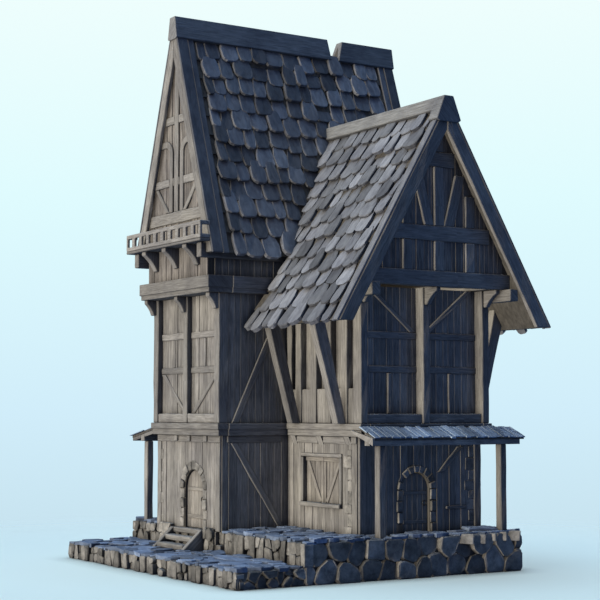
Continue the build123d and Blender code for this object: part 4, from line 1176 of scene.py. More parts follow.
@dataclass
class FlagFloor:
    """Thin irregular flagstones lying over a level floor."""

    name: str
    level: float
    areas: Sequence[tuple[Span, Span]]
    seed: int
    size: Span = (0.26, 0.48)
    corners: tuple[int, int] = (5, 7)
    stretch: Span = (0.45, 0.9)
    uneven: Span = (0.8, 1.12)
    pitch: float = 0.40
    drift: Span = (-0.3, 0.3)
    thick: Span = (0.05, 0.13)
    sink: float = 0.03
    tilt: float = 0.12
    wear: float = 0.016

    def flag(self, rng: random.Random) -> bmesh.types.BMesh:
        """One slab with five to seven uneven corners.

        Args:
            rng: Source of chance.

        Returns:
            The slab.
        """
        shape = bmesh.new()
        radius, corners = rng.uniform(*self.size), rng.randint(*self.corners)
        ring = bmesh.ops.create_circle(shape, cap_ends=True, radius=radius, segments=corners)
        stretch = rng.uniform(*self.stretch)
        for vert in ring["verts"]:
            vert.co.x *= rng.uniform(*self.uneven)
            vert.co.y *= rng.uniform(*self.uneven) * stretch
        thicken(shape, UP * rng.uniform(*self.thick))
        round_edges(shape, self.wear)
        return shape

    def spots(self, span: Span) -> int:
        """How many slabs lie along a span."""
        return max(1, round((span[1] - span[0]) / self.pitch))

    def build(self) -> None:
        """Scatter the slabs over the areas on a loose grid."""
        rng = random.Random(self.seed)
        pile = Pile(self.name, SKY_TINTED_FLAG, "base_stone")
        for across, along in self.areas:
            columns, rows = self.spots(across), self.spots(along)
            for column in range(columns):
                for row in range(rows):
                    x = across[0] + (across[1] - across[0]) * (column + 0.5 + rng.uniform(*self.drift)) / columns
                    y = along[0] + (along[1] - along[0]) * (row + 0.5 + rng.uniform(*self.drift)) / rows
                    shape = self.flag(rng)
                    turn = Matrix.Rotation(rng.uniform(0, math.tau), 4, "Z")
                    lean = Matrix.Rotation(rng.uniform(-self.tilt, self.tilt), 4, "X")
                    put(shape, Matrix.Translation((x, y, self.level - self.sink)) @ lean @ turn)
                    for vert in shape.verts:
                        vert.co.x = min(max(vert.co.x, across[0]), across[1])
                        vert.co.y = min(max(vert.co.y, along[0]), along[1])
                    pile.add(shape, UP, rng.uniform(*ANY_TONE))
        pile.build()


@dataclass
class ArchRing:
    """Rough stones round an arched doorway."""

    node: str
    side: Side
    band: float
    seed: int
    wedges: int = 9
    wedge_range: Span = (0.88, 1.12)
    wedge_gap: float = 0.03
    jamb_stones: int = 4
    jamb_range: Span = (0.86, 1.12)
    jamb_gap: float = 0.008
    proud: Span = (-0.03, 0.02)
    rough: float = 0.010
    wear: float = 0.028

    def sizes(self) -> tuple[float, float, float, float]:
        """Axis, inner radius, springing height and threshold of the arch, from its solid.

        Returns:
            The four measures, in metres.
        """
        low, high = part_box(self.node)
        start, end = low.dot(self.side.along), high.dot(self.side.along)
        outer = (end - start) / 2
        return (start + end) / 2, outer - self.band, high.z - outer, low.z

    def faces(self) -> list[float]:
        """Back and front of the ring on the outward axis."""
        low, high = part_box(self.node)
        return sorted((low.dot(self.side.outward), high.dot(self.side.outward)))

    def build(self) -> None:
        """Set the jamb stones and the wedge stones."""
        rng = random.Random(self.seed)
        axis, radius, spring, foot = self.sizes()
        back, front = self.faces()
        pile = Pile(f"{self.node}_stones", STONE, slot_of(self.node))
        course = (spring - foot) / self.jamb_stones
        for hand in (-1, 1):
            for place in range(self.jamb_stones):
                inner = axis + hand * radius
                ends = sorted((inner, axis + hand * (radius + self.band * rng.uniform(*self.jamb_range))))
                face = front + rng.uniform(*self.proud)
                low = foot + course * place + self.jamb_gap
                shape = box_shape((ends[0], back, low), (ends[1], face, low + course - 2 * self.jamb_gap))
                self.finish(shape, rng, pile)
        step = math.pi / self.wedges
        for place in range(self.wedges):
            outer = radius + self.band * rng.uniform(*self.wedge_range)
            face = front + rng.uniform(*self.proud)
            shape = box_shape((0.0, back, 0.0), (1.0, face, 1.0))
            for vert in shape.verts:
                angle = step * (place + self.wedge_gap + vert.co.x * (1.0 - 2 * self.wedge_gap))
                reach = radius if vert.co.z < 0.5 else outer
                vert.co = Vector((axis + reach * math.cos(angle), vert.co.y, spring + reach * math.sin(angle)))
            self.finish(shape, rng, pile)
        pile.build(self.node)

    def finish(self, shape: bmesh.types.BMesh, rng: random.Random, pile: Pile) -> None:
        """Roughen one stone, turn it to its wall and add it.

        Args:
            shape: The stone in wall coordinates.
            rng: Source of chance.
            pile: Where the shapes go.
        """
        jitter(shape, rng, self.rough)
        bmesh.ops.recalc_face_normals(shape, faces=shape.faces[:])
        round_edges(shape, self.wear, segments=2)
        put(shape, self.side.turn)
        pile.add(shape, UP, rng.uniform(*ANY_TONE))


@dataclass
class PlankDoor:
    """An arched door leaf: planks, ledges and a ring over the outside of its solid."""

    node: str
    arch: ArchRing
    frame_node: str
    hinge_hand: int
    leaf: float = 0.070
    margin: float = 0.028
    foot_gap: float = 0.03
    planks: int = 5
    plank_thick: float = 0.022
    plank_uneven: float = 0.004
    ledge_levels: Span = (0.34, 1.14)
    ledge_tall: float = 0.10
    ledge_share: float = 0.9
    ledge_out: float = 0.008
    ledge_thick: float = 0.016
    ledge_bed: float = 0.006
    ledge_wear: float = 0.005
    ring_radius: float = 0.065
    ring_wire: float = 0.010
    ring_share: float = 0.72
    ring_level: float = 0.85
    ring_out: float = 0.012
    ring_facets: tuple[int, int] = (8, 18)

    def outside(self) -> float:
        """Place of the leaf's outer face on the outward axis."""
        low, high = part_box(self.frame_node)
        return min(low.dot(self.arch.side.outward), high.dot(self.arch.side.outward)) + self.leaf

    def build(self) -> None:
        """Dress the leaf."""
        axis, radius, spring, foot = self.arch.sizes()
        side = self.arch.side
        reach = radius - self.margin
        head = Opening((axis - reach, axis + reach), foot, spring + reach, reach)
        place = side.turn @ Matrix.Translation((0.0, self.outside(), 0.0))
        rng = random.Random(self.node)
        planks = Pile(f"{self.node}_planks", PLANK, "door_plank", self.node)
        wall = BoardWall(self.node, side, 0.0, head.span, foot, head.high, top=head.head)
        gap = wall.joint()[0]
        pitch = 2 * reach / self.planks
        for number in range(self.planks):
            start = axis - reach + pitch * number
            strip = (start + gap / 2, start + pitch - gap / 2)
            thick = self.plank_thick + rng.uniform(0, self.plank_uneven)
            shape = wall.board(strip, lambda along: foot + self.foot_gap, head.head, thick)
            put(shape, place)
            planks.add(shape, UP, rng.uniform(*ANY_TONE), grain_shift(rng))
        out = self.plank_thick + self.ledge_out
        half = reach * self.ledge_share
        for level in self.ledge_levels:
            low, high = foot + level - self.ledge_tall / 2, foot + level + self.ledge_tall / 2
            shape = box_shape((axis - half, out - self.ledge_bed, low), (axis + half, out + self.ledge_thick, high))
            round_edges(shape, self.ledge_wear)
            put(shape, place)
            planks.add(shape, side.along, rng.uniform(*DARK_TONE), grain_shift(rng))
        planks.build()
        iron = Pile(f"{self.node}_iron", IRON, "hinge_iron", self.node)
        spot = (axis - self.hinge_hand * reach * self.ring_share, out + self.ring_out, foot + self.ring_level)
        iron.add(self.ring(place @ Matrix.Translation(spot)), UP, 0.0)
        iron.build()

    def ring(self, place: Matrix) -> bmesh.types.BMesh:
        """The ring handle on the free side of the leaf.

        Args:
            place: Where its middle is.

        Returns:
            The ring.
        """
        shape = bmesh.new()
        segments, steps = self.ring_facets
        start = Matrix.Translation((self.ring_radius, 0.0, 0.0))
        bmesh.ops.create_circle(shape, radius=self.ring_wire, segments=segments, matrix=start)
        bmesh.ops.spin(
            shape, geom=shape.edges[:], cent=(0.0, 0.0, 0.0), axis=(0.0, 1.0, 0.0), angle=math.tau, steps=steps,
            use_merge=True,
        )
        put(shape, place)
        return shape


@dataclass
class Shutters:
    """Two closed shutter leaves of planks with a top rail, stiles and slanting braces."""

    node: str = "window_shutters"
    planks: int = 4
    meeting: float = 0.006
    gap: float = 0.004
    batten: float = 0.030
    bar: float = 0.12
    wear: float = 0.008
    brace_foot: float = 1.2
    brace_lift: float = 0.03

    def build(self) -> None:
        """Replace the solid leaves by planks and battens."""
        low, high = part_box(self.node)
        rng = random.Random(self.node)
        pile = Pile("shutter_planks", PLANK, "door_plank")
        middle = (low.y + high.y) / 2
        face = low.x + self.batten
        for hand in (-1, 1):
            inner = middle + hand * self.meeting
            outer = low.y if hand < 0 else high.y
            pitch = (outer - inner) / self.planks
            for number in range(self.planks):
                ends = sorted((inner + pitch * number, inner + pitch * (number + 1)))
                shape = box_shape((face, ends[0] + self.gap, low.z), (high.x, ends[1] - self.gap, high.z))
                round_edges(shape, self.wear)
                pile.add(shape, UP, rng.uniform(*ANY_TONE), grain_shift(rng))
            rail, stile = high.z - self.bar / 2, inner + hand * self.bar / 2
            brace_foot = (inner + hand * self.bar * self.brace_foot, low.z + self.brace_lift)
            brace_head = (outer - hand * self.bar, high.z - self.bar)
            for bar in (
                ((inner, rail), (outer, rail)),
                ((stile, low.z), (stile, rail - self.bar / 2)),
                (brace_foot, brace_head),
            ):
                start, end = [Vector((face - self.batten / 2, *spot)) for spot in bar]
                shape = bar_shape(start, end, self.bar, self.batten, Side.WEST.outward)
                round_edges(shape, self.wear)
                pile.add(shape, (end - start).normalized(), rng.uniform(*PALE_TONE), grain_shift(rng))
        pile.build(self.node)


@dataclass
class RoofSlope:
    """One slope of a roof with its courses of shingles, from the eave to the ridge cap."""

    name: str
    eave: Vector
    along: Vector
    up: Vector
    length: float
    covered: float
    rise: float
    keep: Callable[[Vector], bool]
    verges: Span
    courses: int = 12
    cover: float = 1.32
    width: float = 0.53
    width_range: Span = (0.72, 1.24)
    first_share: float = 0.6
    last_share: float = 0.45
    least_width: float = 0.03
    verge_gap: Span = (0.02, 0.16)
    thick: float = 0.085
    swell: Span = (0.8, 1.25)
    eave_swell: Span = (1.25, 1.55)
    step: float = 0.07
    gap: float = 0.012
    slip: Span = (-0.10, 0.05)
    raised: Span = (0.025, 0.065)
    raised_share: float = 0.42
    bedded: Span = (-0.03, 0.01)
    twist: float = 0.075
    scale: tuple[Point, ...] = ((0.2, 0.0), (0.4, 0.06), (0.5, 0.2), (0.5, 0.56), (0.42, 0.78), (0.3, 1.0))
    scale_drift: Point = (0.03, 0.015)
    skew: float = 0.06
    rim: float = 0.03
    rim_reach: float = 0.7
    rough: Size = (0.008, 0.012, 0.004)
    overhang: float = 0.07
    verge_rows: tuple[Size, ...] = ((0.62, 0.0, 0.035), (0.36, 0.64, 0.012))
    verge_drop: float = 0.03
    verge_thick: float = 0.07
    verge_wear: float = 0.02
    seed: int = 3
    variants: int = 8

    def shingle(self, rng: random.Random, length: float) -> Stamp:
        """One shingle with its butt end at the origin: a long scale, narrow at both ends, with a worn rim.

        Args:
            rng: Source of chance.
            length: Its length up the slope.

        Returns:
            The shingle, ready to be laid.
        """
        shape = bmesh.new()
        wide, tall = self.scale_drift
        half = [(across + rng.uniform(-wide, wide), climb + rng.uniform(-tall, tall)) for across, climb in self.scale]
        other = [(-across + rng.uniform(-wide, wide), climb) for across, climb in reversed(half)]
        shape.faces.new([shape.verts.new((x * self.width, y * length, 0.0)) for x, y in half + other])
        thicken(shape, (0.0, 0.0, self.thick))
        rim = [
            edge
            for edge in shape.edges
            if min(vert.co.z for vert in edge.verts) > self.thick / 2
            and min(vert.co.y for vert in edge.verts) < length * self.rim_reach
        ]
        bevel(shape, rim, self.rim, segments=2)
        skew = rng.uniform(-self.skew, self.skew)
        for vert in shape.verts:
            vert.co.y += skew * vert.co.x / self.width
            vert.co += Vector([rng.uniform(-amount, amount) for amount in self.rough])
        return Stamp.of(shape, Vector((0.0, 1.0, 0.0)))

    def frame_of(self) -> tuple[Vector, Matrix]:
        """Outward normal of the slope, and the turn from shingle to slope.

        Returns:
            The normal and the turn.
        """
        normal = self.along.cross(self.up)
        across = self.along
        if normal.z < 0:
            normal, across = -normal, -across
        return normal, Matrix((across, self.up, normal)).transposed().to_4x4()

    def build(self) -> None:
        """Lay the courses from the eave to the ridge cap."""
        rng = random.Random(self.seed)
        course = self.covered / self.courses
        stamps = [self.shingle(rng, course * self.cover) for _ in range(self.variants)]
        normal, turn = self.frame_of()
        laid = turn @ Matrix.Rotation(-math.atan2(self.step, course), 4, "X")
        pile = Pile(self.name, SHINGLE, "roof_shingle")
        for row in range(self.courses):
            edge, margin = [verge + (rng.uniform(*self.verge_gap) if verge else 0.0) for verge in self.verges]
            end = self.length - margin
            first = True
            while edge < end - self.least_width:
                wide = self.width * rng.uniform(*self.width_range) * (self.first_share if first and row % 2 else 1.0)
                first = False
                if end - edge - wide < self.width * self.last_share:
                    wide = end - edge
                drop = 0.0 if row else self.overhang
                climb = row * course - drop + rng.uniform(*self.slip)
                spot = self.eave + self.along * (edge + wide / 2) + self.up * climb
                edge += wide
                if not self.keep(spot + self.up * course / 2):
                    continue
                raised = rng.random() < self.raised_share
                lift = rng.uniform(*(self.raised if raised else self.bedded))
                swell = rng.uniform(*(self.swell if row else self.eave_swell))
                twist = Matrix.Rotation(rng.uniform(-self.twist, self.twist), 4, "Z")
                size = Matrix.Diagonal(((wide - self.gap) / self.width, 1.0, swell, 1.0))
                place = Matrix.Translation(spot + normal * lift) @ laid @ twist @ size
                pile.lay(rng.choice(stamps), rng.uniform(*ANY_TONE), place, grain_shift(rng))
        self.verge_boards(pile, normal, rng)
        pile.build()

    def verge_boards(self, pile: Pile, normal: Vector, rng: random.Random) -> None:
        """Lay plain boards up the two ends of the slope.

        Args:
            pile: Where the shapes go.
            normal: Outward normal of the slope.
            rng: Source of chance.
        """
        for wide, outer, hand in ((self.verges[0], 0.0, 1), (self.verges[1], self.length, -1)):
            for share, start, lift in self.verge_rows if wide else ():
                foot = self.eave + self.along * (outer + hand * wide * (start + share / 2)) + normal * lift
                if not self.keep(foot + self.up * self.rise / 2):
                    continue
                low, high = foot - self.up * self.verge_drop, foot + self.up * self.rise
                shape = bar_shape(low, high, wide * share, self.verge_thick, normal)
                round_edges(shape, self.verge_wear, segments=2)
                pile.add(shape, self.up, rng.uniform(*DARK_TONE), grain_shift(rng))


@dataclass
class PorchRoof:
    """Rough boards laid down the slope of a lean-to roof."""

    node: str
    eave_side: Side
    slab: float = 0.060
    width: Span = (0.14, 0.30)
    least_width: float = 0.03
    thick: Span = (0.022, 0.04)
    gap: float = 0.012
    overhang: Span = (-0.02, 0.09)
    length: Span = (0.92, 1.0)
    lifts: Span = (0.01, 0.012)
    layers: tuple[Size, ...] = ((0.0, 1.0, 0.0), (-0.06, 0.55, 0.025))
    short_share: float = 0.55
    rough: float = 0.008
    wear: float = 0.006

    def build(self) -> None:
        """Lay two uneven layers of boards over the solid: a full one, and loose boards along its upper part."""
        low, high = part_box(self.node)
        rng = random.Random(self.node)
        side = self.eave_side
        run = abs((high - low).dot(side.outward))
        fall = (high.z - low.z - self.slab) / run
        eave = max(low.dot(side.outward), high.dot(side.outward))
        last = high.dot(side.along)
        down = (side.outward - UP * fall).normalized()
        normal = side.along.cross(down)
        normal = normal if normal.z > 0 else -normal
        pile = Pile(f"{self.node}_boards", SKY_TINTED_SHAKE, "porch_shake")
        for start, share, lift in self.layers:
            edge = low.dot(side.along) + start
            while edge < last - self.least_width:
                wide = min(rng.uniform(*self.width), last - edge)
                thick = rng.uniform(*self.thick)
                tail = rng.uniform(*self.overhang)
                length = run * share * math.hypot(1.0, fall) * rng.uniform(*self.length)
                middle = side.along * (edge + wide / 2)
                top = middle + side.outward * (eave - run) + UP * (high.z + self.lifts[0] + lift)
                foot = middle + side.outward * eave + UP * (high.z - run * fall + self.lifts[1])
                end = foot + down * tail + normal * (thick / 2)
                if lift and rng.random() < self.short_share:
                    end = top + (foot - top) * share
                begin = end - down * min(length, (end - top).length)
                shape = bar_shape(begin, end, wide - self.gap, thick, normal)
                jitter(shape, rng, self.rough)
                round_edges(shape, self.wear)
                pile.add(shape, down, rng.uniform(*ANY_TONE), grain_shift(rng))
                edge += wide
        pile.build()


@dataclass
class Quoins:
    """A column of squared stones let into a boarded corner."""

    name: str
    side: Side
    face: float
    edge: float
    reach: int
    low: float
    high: float
    wide: Span = (0.20, 0.36)
    wide_range: Span = (0.85, 1.1)
    tall: Span = (0.24, 0.36)
    least_tall: float = 0.1
    gap: float = 0.01
    bed: float = 0.02
    proud: float = 0.055
    proud_range: Span = (0.7, 1.1)
    rough: float = 0.008
    wear: float = 0.018
    tone: Span = (-0.2, 0.8)

    def build(self) -> None:
        """Stack the stones, long and short by turns."""
        rng = random.Random(self.name)
        pile = Pile(self.name, STONE, "base_stone")
        place = self.side.place(self.face)
        foot, long_stone = self.low, True
        while foot < self.high - self.least_tall:
            tall = min(rng.uniform(*self.tall), self.high - foot)
            wide = self.wide[1] if long_stone else self.wide[0]
            wide *= rng.uniform(*self.wide_range)
            start, end = sorted((self.edge, self.edge + self.reach * wide))
            proud = self.proud * rng.uniform(*self.proud_range)
            shape = box_shape((start, -self.bed, foot + self.gap), (end, proud, foot + tall - self.gap))
            jitter(shape, rng, self.rough)
            round_edges(shape, self.wear, segments=2)
            put(shape, place)
            pile.add(shape, UP, rng.uniform(*self.tone))
            foot += tall
            long_stone = not long_stone
        pile.build()


@dataclass
class House:
    """The whole house: sets out its walls and roofs from the solids and builds each part."""

    side_arch: ArchRing = field(default_factory=lambda: ArchRing("side_door_arch", Side.WEST, 0.23, 41))
    side_lap: float = 0.12
    front_arch: ArchRing = field(default_factory=lambda: ArchRing("front_door_arch", Side.SOUTH, 0.20, 42))
    front_lap: float = 0.10
    window_lap: float = 0.02
    gable_width: Span = (0.11, 0.18)
    flag_edge: float = 0.02
    flag_gaps: Span = (0.08, 0.1)
    quoin_inset: float = 0.24
    quoin_edge: float = 0.02
    quoin_drop: float = 0.3
    window_quoin_drop: float = 0.35
    barge: float = 0.12
    cap_wear: float = 0.06
    main_cap_fall: float = 0.52
    main_verges: Span = (0.56, 0.56)
    main_lap: float = 0.05
    wing_cap_fall: float = 0.26
    wing_verges: Span = (0.30, 0.0)
    wing_gap: float = 0.045
    wing_laps: Span = (0.2, 0.1)

    def timbers(self) -> None:
        """Replace the frame of posts, beams and braces."""
        TimberWork(
            (
                "sill_beams", "main_posts", "main_plates", "main_framing", "plate_brackets", "main_eave_beams",
                "main_gable_frame", "gallery_parapet", "gallery_brackets", "wing_posts", "wing_framing",
                "wing_plates", "wing_brackets", "eave_plates", "wing_gable_frame", "eave_struts", "barge_boards",
                "ground_framing", "joist_ends", "porch_posts", "porch_beams", "window_frame", "step_stringers",
                "step_treads", "gallery_floor",
            )
        ).build()
        TimberWork(("ridge_caps",), CAP, wear=self.cap_wear).build()

    def cores(self) -> None:
        """Give the solids that stay their own finishes."""
        walls = (
            "main_west_wall", "door_heads", "side_door_frame", "main_side_walls", "ground_east_wall",
            "wing_front_wall", "front_door_frame", "wing_west_wall", "main_end_walls", "main_long_walls",
            "frieze_walls", "main_gables", "wing_side_walls", "wing_wall_heads", "wing_upper_front_wall",
            "wing_gable", "main_roof_south", "main_roof_north", "wing_roof_west", "wing_roof_east",
            "south_porch_roof", "north_porch_roof", "side_door", "front_door",
        )
        floors = ("first_floor_decks", "attic_floors")
        for finish, names in ((CORE, walls), (FLOOR, floors), (IRON, ("door_pintles",))):
            for name in names:
                materials = frame["nodes"][name].data.materials
                materials.clear()
                materials.append(finish.material())

    def base(self) -> None:
        """Lay the two tiers of the base and the flagstones round the walls."""
        StoneBase().build()
        KerbStones().build()
        terrace_low, terrace_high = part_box("lower_terrace")
        plinth_low, plinth_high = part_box("upper_plinth")
        main_low, main_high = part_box("main_side_walls")
        wing_low, wing_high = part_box("wing_front_wall")
        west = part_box("main_west_wall")[0].x
        edge = self.flag_edge
        side_gap, front_gap = self.flag_gaps
        wing_west, plinth_east = wing_low.x - edge, plinth_high.x - edge
        FlagFloor(
            "terrace_flags",
            terrace_high.z,
            (
                ((terrace_low.x + edge, plinth_low.x), (terrace_low.y + edge, terrace_high.y - edge)),
                ((plinth_low.x, plinth_high.x), (plinth_high.y + edge, terrace_high.y)),
            ),
            seed=31,
        ).build()
        FlagFloor(
            "plinth_flags",
            plinth_high.z,
            (
                ((plinth_low.x + edge, wing_west), (plinth_low.y + edge, main_low.y - edge)),
                ((wing_west, plinth_east), (plinth_low.y + edge, wing_low.y - front_gap)),
                ((wing_high.x + side_gap, plinth_east), (wing_low.y, main_high.y)),
                ((west, plinth_east), (main_high.y + side_gap, plinth_high.y - edge)),
            ),
            seed=32,
        ).build()

    def doors(self) -> None:
        """Set the two arches and dress their doors and the shutters."""
        self.side_arch.build()
        self.front_arch.build()
        PlankDoor("side_door", self.side_arch, "side_door_frame", hinge_hand=1).build()
        PlankDoor("front_door", self.front_arch, "front_door_frame", hinge_hand=-1).build()
        Shutters().build()

    def doorway(self, arch: ArchRing, foot: float, lap: float) -> Opening:
        """Hole that the boards leave for an arch, a little inside its outer edge.

        Args:
            arch: The arch.
            foot: Height of the wall's foot.
            lap: How much wider than the doorway.

        Returns:
            The hole.
        """
        axis, radius, spring, _ = arch.sizes()
        reach = radius + lap
        return Opening((axis - reach, axis + reach), foot, spring + reach, reach)

    def ground_walls(self) -> None:
        """Board the outside of the ground walls."""
        west_low, west_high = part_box("main_west_wall")
        front_low, front_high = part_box("wing_front_wall")
        wing_low, wing_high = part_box("wing_west_wall")
        sides_low, sides_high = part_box("main_side_walls")
        east_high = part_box("ground_east_wall")[1]
        window_low, window_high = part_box("window_frame")
        foot, head = west_low.z, west_high.z
        side_hole = self.doorway(self.side_arch, foot, self.side_lap)
        front_hole = self.doorway(self.front_arch, front_low.z, self.front_lap)
        window_span = (window_low.y + self.window_lap, window_high.y - self.window_lap)
        window = Opening(window_span, window_low.z, window_high.z)
        for name, side, face, span, holes in (
            ("west_ground_boards", Side.WEST, west_low.x, (west_low.y, west_high.y), (side_hole,)),
            ("front_ground_boards", Side.SOUTH, front_low.y, (front_low.x, front_high.x), (front_hole,)),
            ("wing_ground_boards", Side.WEST, wing_low.x, (front_low.y, wing_high.y), (window,)),
            ("south_ground_boards", Side.SOUTH, sides_low.y, (west_low.x, wing_low.x), ()),
            ("north_ground_boards", Side.NORTH, sides_high.y, (west_low.x, east_high.x), ()),
            ("east_ground_boards", Side.EAST, east_high.x, (front_low.y, east_high.y), ()),
        ):
            BoardWall(name, side, face, span, foot, head, holes).build()

    def upper_walls(self) -> None:
        """Board the outside of the upper walls."""
        ends_low, ends_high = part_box("main_end_walls")
        long_low, long_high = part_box("main_long_walls")
        flank_low, flank_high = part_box("wing_side_walls")
        front_low, front_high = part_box("wing_upper_front_wall")
        sill, plate, wing_plate = ends_low.z, ends_high.z, front_high.z
        ends, flanks = (ends_low.y, ends_high.y), (front_low.y, flank_high.y)
        for name, side, face, span, top in (
            ("west_upper_boards", Side.WEST, ends_low.x, ends, plate),
            ("east_upper_boards", Side.EAST, ends_high.x, ends, plate),
            ("south_upper_boards", Side.SOUTH, long_low.y, (long_low.x, flank_low.x), plate),
            ("north_upper_boards", Side.NORTH, long_high.y, (long_low.x, long_high.x), plate),
            ("wing_west_boards", Side.WEST, flank_low.x, flanks, wing_plate),
            ("wing_east_boards", Side.EAST, flank_high.x, flanks, wing_plate),
            ("wing_front_boards", Side.SOUTH, front_low.y, (front_low.x, front_high.x), wing_plate),
        ):
            BoardWall(name, side, face, span, sill, top).build()

    def gables(self) -> None:
        """Board the gables and the frieze under the main eaves."""
        gable_low, gable_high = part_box("main_gables")
        frieze_low, frieze_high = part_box("frieze_walls")
        roof_low, roof_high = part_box("main_roof_south")
        slope = (roof_high.z - roof_low.z) / (roof_high.y - roof_low.y)
        axis = roof_high.y

        def main_top(along: float) -> float:
            """Underside of the main roof."""
            return gable_high.z - abs(along - axis) * slope

        def panels(name: str, side: Side, face: float, span: Span, level: Span, top: Level) -> None:
            """Board one gable with narrow boards."""
            BoardWall(name, side, face, span, *level, top=top, width=self.gable_width, finish=SHADED_GABLE_BOARD).build()

        span, level = (gable_low.y, gable_high.y), (gable_low.z, gable_high.z)
        panels("west_gable_boards", Side.WEST, gable_low.x, span, level, main_top)
        panels("east_gable_boards", Side.EAST, gable_high.x, span, level, main_top)
        span, level = (frieze_low.x, frieze_high.x), (frieze_low.z, roof_low.z)
        BoardWall("south_frieze_boards", Side.SOUTH, frieze_low.y, span, *level).build()
        BoardWall("north_frieze_boards", Side.NORTH, frieze_high.y, span, *level).build()
        wing_low, wing_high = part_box("wing_gable")
        wing_axis = (wing_low.x + wing_high.x) / 2
        wing_slope = (wing_high.z - wing_low.z) / (wing_high.x - wing_axis)

        def wing_top(along: float) -> float:
            """Underside of the wing roof."""
            return wing_high.z - abs(along - wing_axis) * wing_slope

        span, level = (wing_low.x, wing_high.x), (wing_low.z, wing_high.z)
        panels("wing_gable_boards", Side.SOUTH, wing_low.y, span, level, wing_top)

    def roofs(self) -> None:
        """Shingle the four slopes and board the two porches."""
        main_low, main_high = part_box("main_roof_south")
        north_low, north_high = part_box("main_roof_north")
        west_low, west_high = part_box("wing_roof_west")
        east_low, east_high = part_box("wing_roof_east")
        main_rise = main_high - main_low
        slope = main_rise.z / main_rise.y
        wing_rise = west_high.z - west_low.z
        wing_half = west_high.x - west_low.x
        wing_slope = wing_rise / wing_half
        wing_axis = west_high.x

        def outside_wing(spot: Vector) -> bool:
            """Whether a place on the main roof is clear of the wing roof."""
            return spot.z > west_high.z - abs(spot.x - wing_axis) * wing_slope - self.main_lap

        def outside_main(spot: Vector) -> bool:
            """Whether a place on the wing roof is clear of the main range.

            Args:
                spot: The place.

            Returns:
                True where it is clear.
            """
            if spot.z < main_low.z:
                return spot.y < main_low.y + self.wing_laps[0]
            return spot.y < main_low.y + (spot.z - main_low.z) / slope + self.wing_laps[1]

        start = main_low.x - self.barge
        length = main_high.x - main_low.x + 2 * self.barge
        along = Vector((1.0, 0.0, 0.0))
        rise = math.hypot(main_rise.y, main_rise.z)
        up = Vector((0.0, main_rise.y, main_rise.z)).normalized()
        down = Vector((0.0, -up.y, up.z))
        covered = rise * (1.0 - self.main_cap_fall / main_rise.z)
        RoofSlope(
            "main_south_shingles", Vector((start, main_low.y, main_low.z)), along, up, length, covered, rise,
            outside_wing, self.main_verges, seed=51,
        ).build()
        RoofSlope(
            "main_north_shingles", Vector((start, north_high.y, north_low.z)), along, down, length, covered, rise,
            lambda spot: True, self.main_verges, seed=52,
        ).build()
        along = Vector((0.0, 1.0, 0.0))
        verge = west_low.y - self.barge
        length = west_high.y - verge
        rise = math.hypot(wing_half, wing_rise)
        covered = rise * (1.0 - self.wing_cap_fall / wing_rise)
        for name, eave, hand, seed in (
            ("wing_west_shingles", Vector((west_low.x, verge, west_low.z)), 1, 53),
            ("wing_east_shingles", Vector((east_high.x, verge, east_low.z)), -1, 54),
        ):
            up = Vector((hand * wing_half, 0.0, wing_rise)).normalized()
            RoofSlope(
                name, eave, along, up, length, covered, rise, outside_main, self.wing_verges, gap=self.wing_gap,
                seed=seed,
            ).build()
        PorchRoof("south_porch_roof", Side.SOUTH).build()
        PorchRoof("north_porch_roof", Side.NORTH).build()

    def quoins(self) -> None:
        """Set the squared stones beside the window and at the corners."""
        low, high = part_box("wing_front_wall")
        main_low, main_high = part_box("main_west_wall")
        inset, edge, top = self.quoin_inset, self.quoin_edge, high.z - self.quoin_drop
        Quoins("window_quoins", Side.WEST, low.x, low.y + inset, 1, low.z, high.z - self.window_quoin_drop).build()
        Quoins("east_quoins", Side.SOUTH, low.y, high.x - inset, -1, low.z, top).build()
        Quoins("corner_quoins", Side.EAST, high.x, low.y + edge, 1, low.z, top).build()
        top = main_high.z - self.quoin_drop
        Quoins("west_quoins", Side.WEST, main_low.x, main_high.y - edge, -1, main_low.z, top).build()

    def build(self) -> None:
        """Build every part in order."""
        for part in (
            self.cores, self.base, self.timbers, self.ground_walls, self.upper_walls, self.gables, self.doors,
            self.quoins, self.roofs,
        ):
            part()


@dataclass(frozen=True)
class Lamp:
    """A soft far light: its heading in degrees from +X towards +Y, its height and its apparent size in degrees."""

    name: str
    heading: float
    height: float
    power: float
    colour: Colour
    spread: float
    shadow: bool = True

    def build(self) -> None:
        """Hang the lamp."""
        data = bpy.data.lights.new(self.name, "SUN")
        data.use_shadow = self.shadow
        data.energy = self.power
        data.color = self.colour
        data.angle = math.radians(self.spread)
        lamp = bpy.data.objects.new(self.name, data)
        around, above = math.radians(self.heading), math.radians(self.height)
        stand = Vector((math.cos(around) * math.cos(above), math.sin(around) * math.cos(above), math.sin(above)))
        lamp.rotation_euler = stand.to_track_quat("Z", "Y").to_euler()
        bpy.context.scene.collection.objects.link(lamp)


